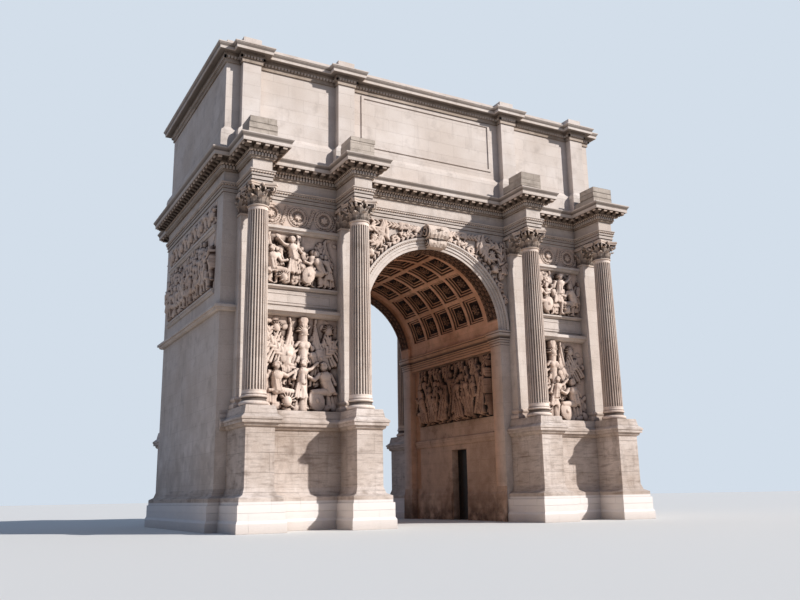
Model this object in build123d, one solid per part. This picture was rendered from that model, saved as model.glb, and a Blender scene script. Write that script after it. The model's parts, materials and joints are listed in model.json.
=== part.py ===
from build123d import *
import math
import os

# A triumphal arch with one vaulted passage between two hollow piers. Free-standing fluted columns stand on
# podiums in pairs before each pier, the entablature breaks forward over every column, and a tall attic
# closes the top. All sizes are millimetres. X runs along the facade, Y from the front facade to the back
# one, Z is up, and the origin is on the ground at the arch's middle.

# Plan of the piers, the passage and the column axes
arch_radius = 3045
passage_set_back = 70
passage_recess = 285
end_strip_width = 707
column_spacing = 3902
corner_width = 892
facade_y = 4187
wall_thickness = 1100
column_forward = 1265

# Vault
springing_z = 7687
lining_thickness = 380
vault_thickness = 510
vault_recess = 150
coffer_rows = 7
coffer_row_angle = 23
coffer_columns = 5
coffer_pitch = 1240
coffer_rib_width = 220
coffer_step_width = 115
coffer_step_depth = 85
row_facets = 3

# Band round the arch, its keystone and its imposts
archivolt_width = 455
archivolt_out = 150
archivolt_edge_width = 120
archivolt_margin = 63
keystone_height = 948
keystone_foot_width = 660
keystone_head_width = 980
keystone_foot_out = 168
keystone_out = 420
keystone_roll_height = 330
keystone_cap_height = 230
impost_height = 737
impost_plain_height = 300
impost_band_height = 80
impost_bed_height = 90
impost_edge_drop = 60
impost_out = 150

# Doorways in the passage walls and their leaves
doorway_front_y = -900
doorway_width = 1210
doorway_height = 3030
doorway_reveal = 320
door_stop_width = 60
door_thickness = 60
door_edge_gap = 8
door_face_gap = 10
door_foot_gap = 10
door_rail_width = 150
door_panel_depth = 15
pintle_radius = 10
pintle_inset = 22
pintle_from_jamb = 30
pintle_foot_height = 20
pintle_sides = 12
knuckle_half_width = 16
knuckle_height = 120
knuckle_inset = 450
hinge_clearance = 0.3

# Podiums and the base that runs round the piers
pedestal_half_width = 490
pedestal_forward = 1980
podium_forward = 650
plinth_height = 300
plinth_out = 335
base_height = 650
base_out = 290
base_fall = 90
base_set_back = 50
base_collar_height = 130
base_flare_height = 300
die_height = 1910
podium_cap_height = 300
podium_cap_out = 200
podium_edge_height = 65
podium_bed_height = 125
podium_flare_height = 390
cap_end_gap = 120
passage_base_out = 75

# Columns and the pilasters behind them
column_base_height = 420
torus_radius = 500
base_sides = 16
shaft_foot_radius = 405
shaft_head_radius = 345
flute_count = 24
flute_depth = 34
flute_share = 0.72
capital_height = 820
astragal_height = 70
astragal_radius = 390
bell_head_radius = 420
bell_sides = 16
abacus_height = 130
abacus_half_width = 545
abacus_hollow = 95
pilaster_half_width = 360
pilaster_forward = 420

# Entablature, broken forward over the columns
ressaut_half_width = 356
ressaut_forward = 1621
architrave_height = 490
architrave_step = 22
architrave_edge_height = 85
architrave_edge_out = 95
frieze_height = 400
cornice_bed_height = 414
cornice_height = 690
cornice_out = 600

# Facade bays between the pilasters, from the podium up and from the architrave down
string_height = 300
string_out = 231
lower_relief_height = 3430
lower_relief_depth = 150
bay_tablet_gap = 130
bay_tablet_height = 520
bay_tablet_out = 40
bay_sill_gap = 50
bay_sill_height = 150
bay_sill_out = 160
upper_relief_depth = 130
frieze_shelf_height = 260
frieze_shelf_out = 230
roundel_frieze_height = 890
roundel_frieze_depth = 90

# Flank panels and passage panels
flank_panel_margin = 737
flank_band_gap = 480
flank_band_height = 210
flank_divider_height = 240
flank_ledge_out = 120
flank_relief_depth = 110
passage_ledge_gap = 150
passage_ledge_height = 380
passage_ledge_out = 90
passage_panel_margin = 430
passage_panel_gap = 630
passage_panel_depth = 110
passage_panel_head_gap = 50

# Attic
attic_set_back = 157
attic_wall_thickness = 900
attic_base_height = 1140
attic_base_out = 180
attic_base_slope_height = 120
attic_base_bend_height = 210
attic_wall_height = 2600
attic_cornice_bed_height = 368
attic_cornice_height = 613
attic_cornice_out = 435
attic_pilaster_half_width = 352
attic_pilaster_forward = 322
parapet_height = 337
parapet_thickness = 500
parapet_block_height = 110
roof_rise = 180
roof_ridge_half_width = 200
inscription_side_margin = 441
inscription_foot_gap = 320
inscription_head_gap = 80
inscription_border = 110
inscription_border_out = 45
statue_base_half_width = 535
statue_base_height = 910
statue_base_depth = 900
statue_step_height = 520

passage_half_width = arch_radius + passage_set_back
recess_x = passage_half_width + passage_recess
spandrel_half_width = arch_radius + archivolt_width + archivolt_margin
inner_column_x = spandrel_half_width + pilaster_half_width
outer_column_x = inner_column_x + column_spacing
column_axes = (-outer_column_x, -inner_column_x, inner_column_x, outer_column_x)
column_y = facade_y + column_forward
bay_left_x = inner_column_x + pilaster_half_width
bay_right_x = outer_column_x - pilaster_half_width
pilaster_outer_x = outer_column_x + pilaster_half_width
pier_outer_x = outer_column_x + corner_width
chamber_inner_x = recess_x + wall_thickness
chamber_outer_x = pier_outer_x - wall_thickness
chamber_y = facade_y - wall_thickness
strip_inner_y = facade_y - end_strip_width
doorway_back_y = doorway_front_y + doorway_width
jamb_front_y = doorway_front_y - door_stop_width
jamb_back_y = doorway_back_y + door_stop_width
base_z = plinth_height + base_height
die_z = base_z + base_collar_height + base_flare_height
podium_cap_z = die_z + die_height
podium_edge_z = podium_cap_z + podium_cap_height
podium_top_z = podium_edge_z + podium_flare_height
impost_z = springing_z - impost_height
architrave_z = springing_z + arch_radius + keystone_height
frieze_z = architrave_z + architrave_height
cornice_z = frieze_z + frieze_height
cornice_top_z = cornice_z + cornice_height
shaft_foot_z = podium_top_z + column_base_height
shaft_head_z = architrave_z - capital_height
string_z = podium_top_z + lower_relief_height
bay_tablet_z = string_z + string_height + bay_tablet_gap
bay_sill_z = bay_tablet_z + bay_tablet_height + bay_sill_gap
upper_relief_z = bay_sill_z + bay_sill_height
roundel_frieze_z = architrave_z - roundel_frieze_height
frieze_shelf_z = roundel_frieze_z - frieze_shelf_height
flank_panel_half_width = facade_y - flank_panel_margin
flank_band_z = string_z + string_height + flank_band_gap
flank_divider_z = roundel_frieze_z - flank_divider_height
passage_ledge_z = doorway_height + door_stop_width + passage_ledge_gap
passage_panel_z = passage_ledge_z + passage_ledge_height + passage_panel_gap
passage_panel_top_z = impost_z - passage_panel_head_gap
passage_panel_half_width = strip_inner_y - passage_panel_margin
attic_y = facade_y - attic_set_back
attic_inner_x = pier_outer_x - attic_wall_thickness
attic_inner_y = attic_y - attic_wall_thickness
attic_wall_z = cornice_top_z + attic_base_height
attic_cornice_z = attic_wall_z + attic_wall_height
attic_cornice_top_z = attic_cornice_z + attic_cornice_height
parapet_top_z = attic_cornice_top_z + parapet_height
inscription_half_width = inner_column_x - attic_pilaster_half_width - inscription_side_margin
inscription_z = attic_wall_z + inscription_foot_gap
inscription_top_z = attic_cornice_z - inscription_head_gap
bend_steps = 2
seat = 60


def block(low, high):
    """A box between two corners."""
    size = [b - a for a, b in zip(low, high)]
    return Pos(*[(a + b) / 2 for a, b in zip(low, high)]) * Box(*size)


def slab(points, bottom, top):
    """A plan outline raised from bottom to top."""
    face = make_face(Polyline(*[(x, y, bottom) for x, y in points], close=True))
    return extrude(face, amount=top - bottom, dir=(0, 0, 1))


def polygon(points):
    """A flat face from its corners."""
    return Face(Wire.make_polygon([Vector(*point) for point in points], close=True))


def faceted(sections):
    """A solid of flat faces that joins closed outlines with equal numbers of corners, one to the next."""
    faces = [polygon(sections[0]), polygon(sections[-1])]
    for here, there in zip(sections, sections[1:]):
        for corner in range(len(here)):
            after = (corner + 1) % len(here)
            faces.append(polygon([here[corner], here[after], there[after], there[corner]]))
    return Solid(Shell(faces))


def bend(start, end):
    """The points that lead to a mark: itself, or those of a quarter bend that is round or hollow."""
    if len(end) == 2:
        return [end]
    width, rise = end[0] - start[0], end[1] - start[1]
    outwards_first = (end[2] == "round") == (width > 0)
    points = []
    for step in range(1, bend_steps + 1):
        turn = math.pi / 2 * step / bend_steps
        early, late = math.sin(turn), 1 - math.cos(turn)
        if not outwards_first:
            early, late = late, early
        points.append((start[0] + width * early, start[1] + rise * late))
    return points


def moulding(marks, path, bed=0):
    """Sweeps an outline of (outwards, height) marks along a wall that lies to the left of the path.

    The outline closes at the wall's face, or further in by bed where the wall is part of the same piece.
    """
    points = [Vector(x, y, 0) for x, y in path]
    along = (points[1] - points[0]).normalized()
    section = Plane(points[0], x_dir=(along.Y, -along.X, 0), z_dir=-along)
    outline = [marks[0]] if marks[0][0] == -bed else [(-bed, marks[0][1]), marks[0]]
    for here, there in zip(marks, marks[1:]):
        outline += bend(here, there)
    if marks[-1][0] != -bed:
        outline.append((-bed, marks[-1][1]))
    face = section * make_face(Polyline(*outline, close=True))
    return sweep(face, path=Polyline(*points), transition=Transition.RIGHT)


def half_outline(half_x, wall_y, break_half_width=0, break_forward=0):
    """Half a course's outline, from the middle of one flank along the front to the other flank."""
    points = [(-half_x, 0), (-half_x, -wall_y)]
    for axis in column_axes if break_forward else ():
        left, right = axis - break_half_width, axis + break_half_width
        front = -wall_y - break_forward
        points += [(left, -wall_y), (left, front), (right, front), (right, -wall_y)]
    return points + [(half_x, -wall_y), (half_x, 0)]


def turned(shape):
    """The same piece on the other facade."""
    return Rot(0, 0, 180) * shape


def course(outline, hollow, bottom, top, marks=None):
    """A closed course of masonry round the building, with an optional moulding on its face."""
    back = [(-x, -y) for x, y in outline[1:-1]]
    ring = slab(outline + back, bottom, top)
    ring -= block((-hollow[0], -hollow[1], bottom), (hollow[0], hollow[1], top))
    if marks:
        edge = moulding(marks, outline, seat)
        ring = ring + edge + turned(edge)
    return ring


def both_facades(shapes):
    """A list of pieces on the front, and the same pieces on the back."""
    return shapes + [turned(shape) for shape in shapes]


def both_sides(shapes):
    """A list of pieces on the right, and their mirror images on the left."""
    return shapes + [mirror(shape, about=Plane.YZ) for shape in shapes]


def write(name, shapes):
    """Writes one node, made of one piece or of several like ones."""
    pieces = [solid for shape in shapes for solid in shape.solids()]
    export_step(pieces[0] if len(pieces) == 1 else Compound(pieces), f"parts/{name}.step")


def pier_front_wall():
    """The right pier's facade wall, notched where the arch springs over the passage."""
    plan = [
        (passage_half_width, -facade_y),
        (pier_outer_x, -facade_y),
        (pier_outer_x, -chamber_y),
        (recess_x, -chamber_y),
        (recess_x, -strip_inner_y),
        (passage_half_width, -strip_inner_y),
    ]
    low = (passage_half_width, -facade_y, springing_z)
    high = (spandrel_half_width, -chamber_y, architrave_z)
    return slab(plan, 0, architrave_z) - block(low, high)


def polar(radius, angle, along=0):
    """A point of the arch, from its angle above the right springing and its place along the passage."""
    turn = math.radians(angle)
    return (radius * math.cos(turn), along, springing_z + radius * math.sin(turn))


def arch_stations():
    """The angles where the arch's flat facets meet, a few to each row of coffers."""
    border = (180 - coffer_rows * coffer_row_angle) / 2
    facet = coffer_row_angle / row_facets
    return [0] + [border + facet * step for step in range(coffer_rows * row_facets + 1)] + [180]


def arch_ring(inner, outer, half_length):
    """A half ring of masonry between two radii, centred along the passage."""
    stations = arch_stations()
    sections = []
    for along in (-half_length, half_length):
        arc = [polar(outer, angle, along) for angle in stations]
        sections.append(arc + [polar(inner, angle, along) for angle in reversed(stations)])
    return faceted(sections)


def spandrel_wall():
    """The facade wall over the passage, cut by the vault's outer lining."""
    wall = block(
        (-spandrel_half_width, -facade_y, springing_z), (spandrel_half_width, -chamber_y, architrave_z)
    )
    radius = arch_radius + lining_thickness
    front, back = -facade_y - seat, -chamber_y + seat
    return wall - faceted([[polar(radius, angle, y) for angle in arch_stations()] for y in (front, back)])


def vault():
    """The structural vault between the facade walls."""
    inner = arch_radius + lining_thickness
    return arch_ring(inner, inner + vault_thickness, chamber_y)


def coffer_step(length, width, near, far):
    """One sunk step of a coffer, at the top of the vault, with its walls leaning in a little."""
    sections = []
    for height, lean in ((near, 0), (far, (far - near) * 0.12)):
        x, y = width / 2 - lean, length / 2 - lean
        sections.append([(-x, -y, height), (x, -y, height), (x, y, height), (-x, y, height)])
    return faceted(sections)


def coffered_lining():
    """The vault's inner lining: a plain band at each end, and coffers in two steps in a face set back."""
    face = arch_radius + vault_recess
    lining = arch_ring(arch_radius, arch_radius + lining_thickness, facade_y)
    lining -= arch_ring(arch_radius * 0.97, face, strip_inner_y)
    row_width = 2 * face * math.tan(math.radians(coffer_row_angle) / 2)
    width, length = row_width - coffer_rib_width, coffer_pitch - coffer_rib_width
    floor = face + 0.5 * coffer_step_depth
    outer_step = coffer_step(length, width, face * 0.97, floor + coffer_step_depth / 2)
    inner_step = coffer_step(
        length - 2 * coffer_step_width,
        width - 2 * coffer_step_width,
        floor,
        face + 2 * coffer_step_depth,
    )
    coffer = outer_step + inner_step
    cuts = []
    for row in range(coffer_rows):
        lean = (row - (coffer_rows - 1) / 2) * coffer_row_angle
        for column in range(coffer_columns):
            along = (column - (coffer_columns - 1) / 2) * coffer_pitch
            cuts.append(Pos(0, along, springing_z) * Rot(0, lean, 0) * coffer)
    return lining - cuts


def archivolt():
    """The moulded band round the arch on the front: two flat faces and a raised outer edge."""
    outer = arch_radius + archivolt_width
    step = arch_radius + archivolt_width * 0.45
    marks = [
        (arch_radius, 0),
        (arch_radius, archivolt_out * 0.3),
        (step, archivolt_out * 0.3),
        (step, archivolt_out * 0.55),
        (outer - archivolt_edge_width, archivolt_out * 0.55),
        (outer - archivolt_edge_width * 0.4, archivolt_out),
        (outer, archivolt_out),
        (outer, 0),
    ]
    sections = [
        [polar(radius, angle, -facade_y - out) for radius, out in marks] for angle in arch_stations()
    ]
    return faceted(sections) - keystone()


def keystone():
    """The scrolled console that locks the arch, wedge shaped and leaning out to its head."""
    foot_z = springing_z + arch_radius
    near, far = archivolt_out + keystone_foot_out, archivolt_out + keystone_out
    marks = [
        (near, foot_z),
        (near * 1.16, foot_z + keystone_roll_height / 3, "round"),
        (near * 0.94, foot_z + keystone_roll_height, "round"),
        (far, architrave_z - keystone_cap_height, "hollow"),
        (far, architrave_z),
    ]
    side = [marks[0]]
    for here, there in zip(marks, marks[1:]):
        side += bend(here, there)
    side = [(0, foot_z)] + side + [(0, architrave_z)]
    face = polygon([(0, -facade_y - out, height) for out, height in side])
    body = extrude(face, amount=keystone_head_width / 2, dir=(1, 0, 0), both=True)
    foot, head = keystone_foot_width / 2, keystone_head_width / 2
    wedge = [(-foot, foot_z), (foot, foot_z), (head, architrave_z), (-head, architrave_z)]
    front = -facade_y - far - seat
    return body & faceted([[(x, y, z) for x, z in wedge] for y in (front, 0)])


def base_marks(plinth):
    """The base that runs round the piers: a low plinth, a tall plinth and a hollow flare to the wall."""
    base = plinth * base_out / plinth_out
    collar = (base_out - base_set_back) / base_out * base
    return [
        (plinth, 0),
        (plinth, plinth_height),
        (base, plinth_height + base_fall),
        (base, base_z - base_fall),
        (collar, base_z - base_fall),
        (collar, base_z + base_collar_height),
        (0, die_z, "hollow"),
    ]


def cap_marks():
    """The podium's cap: a round bed moulding, a flat edge and a long hollow up to the column's foot."""
    edge = podium_cap_out * 0.85
    return [
        (podium_cap_out * 0.12, podium_cap_z),
        (podium_cap_out * 0.5, podium_cap_z + podium_bed_height, "round"),
        (edge, podium_cap_z + podium_bed_height),
        (edge, podium_edge_z - podium_edge_height),
        (podium_cap_out, podium_edge_z - podium_edge_height),
        (podium_cap_out, podium_edge_z),
        (podium_cap_out * 0.05, podium_top_z, "hollow"),
    ]


def podium_outline():
    """The right front podium in plan, from wall to wall round its two pedestals."""
    wall_y, low_y, high_y = -facade_y, -facade_y - podium_forward, -facade_y - pedestal_forward
    inner_left, inner_right = inner_column_x - pedestal_half_width, inner_column_x + pedestal_half_width
    outer_left, outer_right = outer_column_x - pedestal_half_width, outer_column_x + pedestal_half_width
    return [
        (inner_left, wall_y),
        (inner_left, high_y),
        (inner_right, high_y),
        (inner_right, low_y),
        (outer_left, low_y),
        (outer_left, high_y),
        (outer_right, high_y),
        (outer_right, wall_y),
    ]


def podium_course(bottom, top, marks, path):
    """One course of the podium with its moulding, cut back to the pier wall's face."""
    piece = slab(podium_outline(), bottom, top) + moulding(marks, path, seat)
    return piece - block((0, -facade_y, 0), (pier_outer_x, 0, podium_top_z))


def podium_base():
    """The podium's base, which also covers the pier's corner."""
    corner = [(pier_outer_x, -facade_y), (pier_outer_x, -chamber_y)]
    return podium_course(0, die_z, base_marks(plinth_out), podium_outline() + corner)


def podium_cap():
    """The podium's cap, with the flared blocks that the columns stand on."""
    end = [(pier_outer_x - cap_end_gap, -facade_y)]
    return podium_course(podium_cap_z, podium_top_z, cap_marks(), podium_outline() + end)


def flank_base():
    """The same base along the right flank, between the ends of the facades' bases."""
    return moulding(base_marks(plinth_out), [(pier_outer_x, -chamber_y), (pier_outer_x, chamber_y)])


def passage_bases():
    """The base on the passage's right side, from each facade to the doorway."""
    marks = base_marks(passage_base_out)
    front = [(recess_x, jamb_front_y), (recess_x, -strip_inner_y), (passage_half_width, -strip_inner_y)]
    back = [(passage_half_width, strip_inner_y), (recess_x, strip_inner_y), (recess_x, jamb_back_y)]
    front.append((passage_half_width, -facade_y))
    back.insert(0, (passage_half_width, facade_y))
    return [moulding(marks, front), moulding(marks, back)]


def ring_of(radius, height, sides):
    """A many-sided round outline for the turned parts of a column."""
    turns = [2 * math.pi * corner / sides for corner in range(sides)]
    return [(radius * math.cos(turn), radius * math.sin(turn), height) for turn in turns]


def column_base():
    """The base under a shaft: a large torus, a hollow and a small torus."""
    spans = [(0.94, 0.0), (1.0, 0.2), (0.94, 0.4), (0.84, 0.52), (0.94, 0.74), (0.86, 1.0)]
    return faceted(
        [ring_of(torus_radius * r, podium_top_z + column_base_height * h, base_sides) for r, h in spans]
    )


def flute_ring(radius, height):
    """The shaft's outline at one height: hollow flutes parted by narrow fillets."""
    points = []
    pitch = 360 / flute_count
    for flute in range(flute_count):
        for share, sunk in ((-0.5, 0), (0, 1), (0.5, 0)):
            turn = math.radians(pitch * (flute + share * flute_share))
            reach = radius * (1 - sunk * flute_depth / shaft_foot_radius)
            points.append((reach * math.cos(turn), reach * math.sin(turn), height))
    return points


def column_shaft():
    """A fluted shaft that tapers from its foot to its head."""
    ends = ((shaft_foot_radius, shaft_foot_z), (shaft_head_radius, shaft_head_z))
    return faceted([flute_ring(radius, height) for radius, height in ends])


def abacus_outline(height):
    """The capital's square plate with hollow sides and cut corners."""
    half, cut = abacus_half_width, abacus_half_width * 0.16
    side = [(-half + cut, -half), (0.4 * (cut - half), -half + abacus_hollow)]
    side += [(0.4 * (half - cut), -half + abacus_hollow), (half - cut, -half)]
    points = []
    for quarter in range(4):
        for x, y in side:
            for _ in range(quarter):
                x, y = -y, x
            points.append((x, y, height))
    return points


def column_capital():
    """The capital's astragal, bell and four-sided abacus, before its leaves."""
    bell_foot = shaft_head_z + astragal_height
    bell_head = architrave_z - abacus_height
    spans = [
        (astragal_radius, shaft_head_z),
        (shaft_head_radius, bell_foot),
        (bell_head_radius, bell_head),
    ]
    bell = faceted([ring_of(radius, height, bell_sides) for radius, height in spans])
    return bell + faceted([abacus_outline(bell_head), abacus_outline(architrave_z)])


def front_columns(piece):
    """Copies of one column part on the front's four column axes."""
    return [Pos(axis, -column_y, 0) * piece for axis in column_axes]


def pilasters():
    """The flat pilasters behind the front columns, from the podium to the architrave."""
    wide, front = pilaster_half_width, -facade_y - pilaster_forward
    return [
        block((axis - wide, front, podium_top_z), (axis + wide, -facade_y, architrave_z))
        for axis in column_axes
    ]


def string_course():
    """The string course on the right flank with its returns up to the outer pilasters."""
    marks = [
        (0, string_z),
        (string_out * 0.35, string_z),
        (string_out * 0.75, string_z + string_height * 0.37, "round"),
        (string_out, string_z + string_height * 0.37),
        (string_out, string_z + string_height * 0.67),
        (0, string_z + string_height),
    ]
    path = [
        (pilaster_outer_x, -facade_y),
        (pier_outer_x, -facade_y),
        (pier_outer_x, facade_y),
        (pilaster_outer_x, facade_y),
    ]
    return moulding(marks, path)


def impost():
    """The impost on the right of the passage: a filled band over the recess and its moulded face."""
    band = block((passage_half_width, -strip_inner_y, impost_z), (recess_x, strip_inner_y, springing_z))
    foot_z = impost_z + impost_plain_height
    bed_z = foot_z + impost_band_height
    edge_z = bed_z + impost_bed_height
    marks = [
        (impost_out * 0.3, foot_z),
        (impost_out * 0.3, bed_z),
        (impost_out * 0.8, edge_z, "round"),
        (impost_out, edge_z),
        (impost_out, springing_z - impost_edge_drop),
        (impost_out * 0.6, springing_z),
    ]
    path = [
        (spandrel_half_width, facade_y),
        (passage_half_width, facade_y),
        (passage_half_width, -facade_y),
        (spandrel_half_width, -facade_y),
    ]
    return band + moulding(marks, path)


def bay_block(depth, bottom, top):
    """A slab that fills the right bay between the pilasters."""
    return block((bay_left_x, -facade_y - depth, bottom), (bay_right_x, -facade_y, top))


def bay_moulding(marks):
    """A moulding across the right bay."""
    return moulding(marks, [(bay_left_x, -facade_y), (bay_right_x, -facade_y)])


def shelf_marks(bottom, height, out):
    """A small cornice: a round bed moulding under a flat shelf."""
    return [
        (0, bottom),
        (out * 0.3, bottom),
        (out * 0.75, bottom + height * 0.45, "round"),
        (out, bottom + height * 0.45),
        (out, bottom + height * 0.85),
        (0, bottom + height),
    ]


def bay_ledges():
    """The mouldings across the front right bay: over the lower relief, the sill and the shelf above."""
    return [
        bay_moulding(shelf_marks(string_z, string_height, string_out * 1.5)),
        bay_moulding(shelf_marks(bay_sill_z, bay_sill_height, bay_sill_out)),
        bay_moulding(shelf_marks(frieze_shelf_z, frieze_shelf_height, frieze_shelf_out)),
    ]


def flank_ledges():
    """The sill and the dividing ledge of the right flank's panels."""
    path = [(pier_outer_x, -flank_panel_half_width), (pier_outer_x, flank_panel_half_width)]
    return [
        moulding(shelf_marks(flank_band_z, flank_band_height, flank_ledge_out), path),
        moulding(shelf_marks(flank_divider_z, flank_divider_height, flank_ledge_out), path),
    ]


def flank_reliefs():
    """The slabs that carry the right flank's two bands of carving."""
    out_x, wide = pier_outer_x + flank_relief_depth, flank_panel_half_width
    low, high = flank_band_z + flank_band_height, flank_divider_z + flank_divider_height
    return [
        block((pier_outer_x, -wide, low), (out_x, wide, flank_divider_z)),
        block((pier_outer_x, -wide, high), (out_x, wide, architrave_z)),
    ]


def cornice_bed_marks(bottom, top, out):
    """The lower course of a cornice: a flat band, a bed moulding and the dentil band."""
    rise = top - bottom
    return [
        (out * 0.12, bottom),
        (out * 0.12, bottom + rise / 2),
        (out * 0.28, bottom + rise * 0.67),
        (out * 0.28, top),
    ]


def corona_marks(bottom, top, out):
    """The upper course of a cornice: a deep soffit, a flat corona and a leaning gutter edge."""
    rise = top - bottom
    return [
        (out * 0.86, bottom),
        (out * 0.86, bottom + rise / 2),
        (out, top - rise / 8),
        (out, top),
    ]


def storey_course(bottom, top, marks=None):
    """A closed course round the lower storey, broken forward over the columns."""
    outline = half_outline(pier_outer_x, facade_y, ressaut_half_width, ressaut_forward)
    return course(outline, (chamber_outer_x, chamber_y), bottom, top, marks)


def architrave():
    """Three flat faces, each a little forward of the one below, under a small crowning moulding."""
    marks = [
        (architrave_step, architrave_z + architrave_height * 0.3),
        (architrave_step, architrave_z + architrave_height * 0.6),
        (2 * architrave_step, architrave_z + architrave_height * 0.6),
        (2 * architrave_step, frieze_z - architrave_edge_height),
        (architrave_edge_out, frieze_z - architrave_edge_height / 3),
        (architrave_edge_out, frieze_z),
    ]
    return storey_course(architrave_z, frieze_z, marks)


def frieze():
    """The plain frieze, broken forward over the columns."""
    return storey_course(frieze_z, cornice_z)


def cornice_bed():
    """The lower course of the main cornice, which carries its brackets."""
    top = cornice_z + cornice_bed_height
    return storey_course(cornice_z, top, cornice_bed_marks(cornice_z, top, cornice_out))


def corona():
    """The overhanging course of the main cornice."""
    bottom = cornice_z + cornice_bed_height
    return storey_course(bottom, cornice_top_z, corona_marks(bottom, cornice_top_z, cornice_out))


def attic_outline():
    """Half the attic's outline, broken forward at its pilasters."""
    return half_outline(pier_outer_x, attic_y, attic_pilaster_half_width, attic_pilaster_forward)


def attic_course(bottom, top, marks):
    """A closed course round the attic, broken forward at its pilasters."""
    return course(attic_outline(), (attic_inner_x, attic_inner_y), bottom, top, marks)


def attic_base():
    """The attic's tall base with a rounded top."""
    slope_z = attic_wall_z - attic_base_slope_height
    bend_z = slope_z - attic_base_bend_height
    marks = [
        (attic_base_out, cornice_top_z),
        (attic_base_out, bend_z),
        (attic_base_out * 0.45, slope_z, "round"),
        (0, attic_wall_z),
    ]
    return attic_course(cornice_top_z, attic_wall_z, marks)


def attic_facade_wall():
    """The attic's front wall with the raised border of its long middle panel, which is bare."""
    wall = block((-pier_outer_x, -attic_y, attic_wall_z), (pier_outer_x, -attic_inner_y, attic_cornice_z))
    wide, out = inscription_half_width, inscription_border_out
    border = block((-wide, -attic_y - out, inscription_z), (wide, -attic_y, inscription_top_z))
    inner = wide - inscription_border
    border -= block(
        (-inner, -attic_y - out, inscription_z + inscription_border),
        (inner, -attic_y, inscription_top_z - inscription_border),
    )
    return wall + border


def attic_pilasters():
    """The flat strips on the attic's front over the columns."""
    wide, front = attic_pilaster_half_width, -attic_y - attic_pilaster_forward
    return [
        block((axis - wide, front, attic_wall_z), (axis + wide, -attic_y, attic_cornice_z))
        for axis in column_axes
    ]


def attic_cornice_bed():
    """The lower course of the attic's crowning cornice."""
    top = attic_cornice_z + attic_cornice_bed_height
    marks = cornice_bed_marks(attic_cornice_z, top, attic_cornice_out)
    return attic_course(attic_cornice_z, top, marks)


def attic_corona():
    """The overhanging course of the attic's cornice."""
    bottom = attic_cornice_z + attic_cornice_bed_height
    marks = corona_marks(bottom, attic_cornice_top_z, attic_cornice_out)
    return attic_course(bottom, attic_cornice_top_z, marks)


def parapet():
    """The blocking course on the attic cornice with a low block over each pilaster."""
    hollow = (pier_outer_x - parapet_thickness, attic_y - parapet_thickness)
    ring = course(attic_outline(), hollow, attic_cornice_top_z, parapet_top_z)
    wide, front = attic_pilaster_half_width, -attic_y - attic_pilaster_forward
    low, high = (-wide, front, parapet_top_z), (wide, -hollow[1], parapet_top_z + parapet_block_height)
    cap = block(low, high)
    return ring + both_facades([Pos(axis, 0, 0) * cap for axis in column_axes])


def roof():
    """A low hipped deck inside the parapet."""
    half_x, half_y = pier_outer_x - parapet_thickness, attic_y - parapet_thickness
    ridge_y, ridge_z = roof_ridge_half_width, attic_cornice_top_z + roof_rise
    ridge_x = half_x - half_y + ridge_y
    foot = [(-half_x, -half_y), (half_x, -half_y), (half_x, half_y), (-half_x, half_y)]
    ridge = [(-ridge_x, -ridge_y), (ridge_x, -ridge_y), (ridge_x, ridge_y), (-ridge_x, ridge_y)]
    return faceted([[(x, y, attic_cornice_top_z) for x, y in foot], [(x, y, ridge_z) for x, y in ridge]])


def statue_bases():
    """The stepped blocks over the front columns, which stand empty."""
    front = -facade_y - ressaut_forward
    middle = front + statue_base_depth
    back = -attic_y - attic_pilaster_forward - attic_base_out
    side = [
        (front, cornice_top_z),
        (front, cornice_top_z + statue_base_height),
        (middle, cornice_top_z + statue_base_height),
        (middle, cornice_top_z + statue_step_height),
        (back, cornice_top_z + statue_step_height),
        (back, cornice_top_z),
    ]
    face = Plane.YZ * make_face(Polyline(*side, close=True))
    piece = extrude(face, amount=statue_base_half_width, both=True)
    return [Pos(axis, 0, 0) * piece for axis in column_axes]


def door_frame_box(low_x, high_x, margin, top):
    """A box in the right doorway, widened by a margin on both jambs."""
    return block((low_x, doorway_front_y - margin, 0), (high_x, doorway_back_y + margin, top))


def doorcase():
    """The stone stop round the right doorway that the leaf closes against."""
    far_x = recess_x + doorway_reveal
    outer = door_frame_box(recess_x, far_x, door_stop_width, doorway_height + door_stop_width)
    return outer - door_frame_box(recess_x, far_x, 0, doorway_height)


def pintle_axis():
    """Plan position of the right door's hinge."""
    x = recess_x + doorway_reveal + door_face_gap + door_thickness + pintle_inset
    return x, jamb_back_y - pintle_from_jamb


def knuckle_levels():
    """The heights of the door's two knuckles."""
    return knuckle_inset, doorway_height - knuckle_inset - knuckle_height


def door_leaf():
    """The right door's leaf with two sunk panels on each face and a knuckle at each pintle."""
    axis_x, axis_y = pintle_axis()
    low_x = recess_x + doorway_reveal + door_face_gap
    high_x = low_x + door_thickness
    low_y, high_y = jamb_front_y + door_edge_gap, jamb_back_y - door_edge_gap
    top = doorway_height + door_stop_width - door_face_gap
    leaf = block((low_x, low_y, door_foot_gap), (high_x, high_y, top))
    middle = (door_foot_gap + top) / 2
    rail = door_rail_width
    for bottom, head in ((door_foot_gap + rail, middle - rail / 2), (middle + rail / 2, top - rail)):
        leaf -= block((low_x, low_y + rail, bottom), (low_x + door_panel_depth, high_y - rail, head))
        leaf -= block((high_x - door_panel_depth, low_y + rail, bottom), (high_x, high_y - rail, head))
    half = knuckle_half_width
    for level in knuckle_levels():
        low = (high_x - half, axis_y - half, level)
        leaf += block(low, (axis_x + half, axis_y + half, level + knuckle_height))
        bore = Cylinder(pintle_radius + hinge_clearance, knuckle_height)
        leaf -= Pos(axis_x, axis_y, level + knuckle_height / 2) * bore
    return leaf


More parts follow.
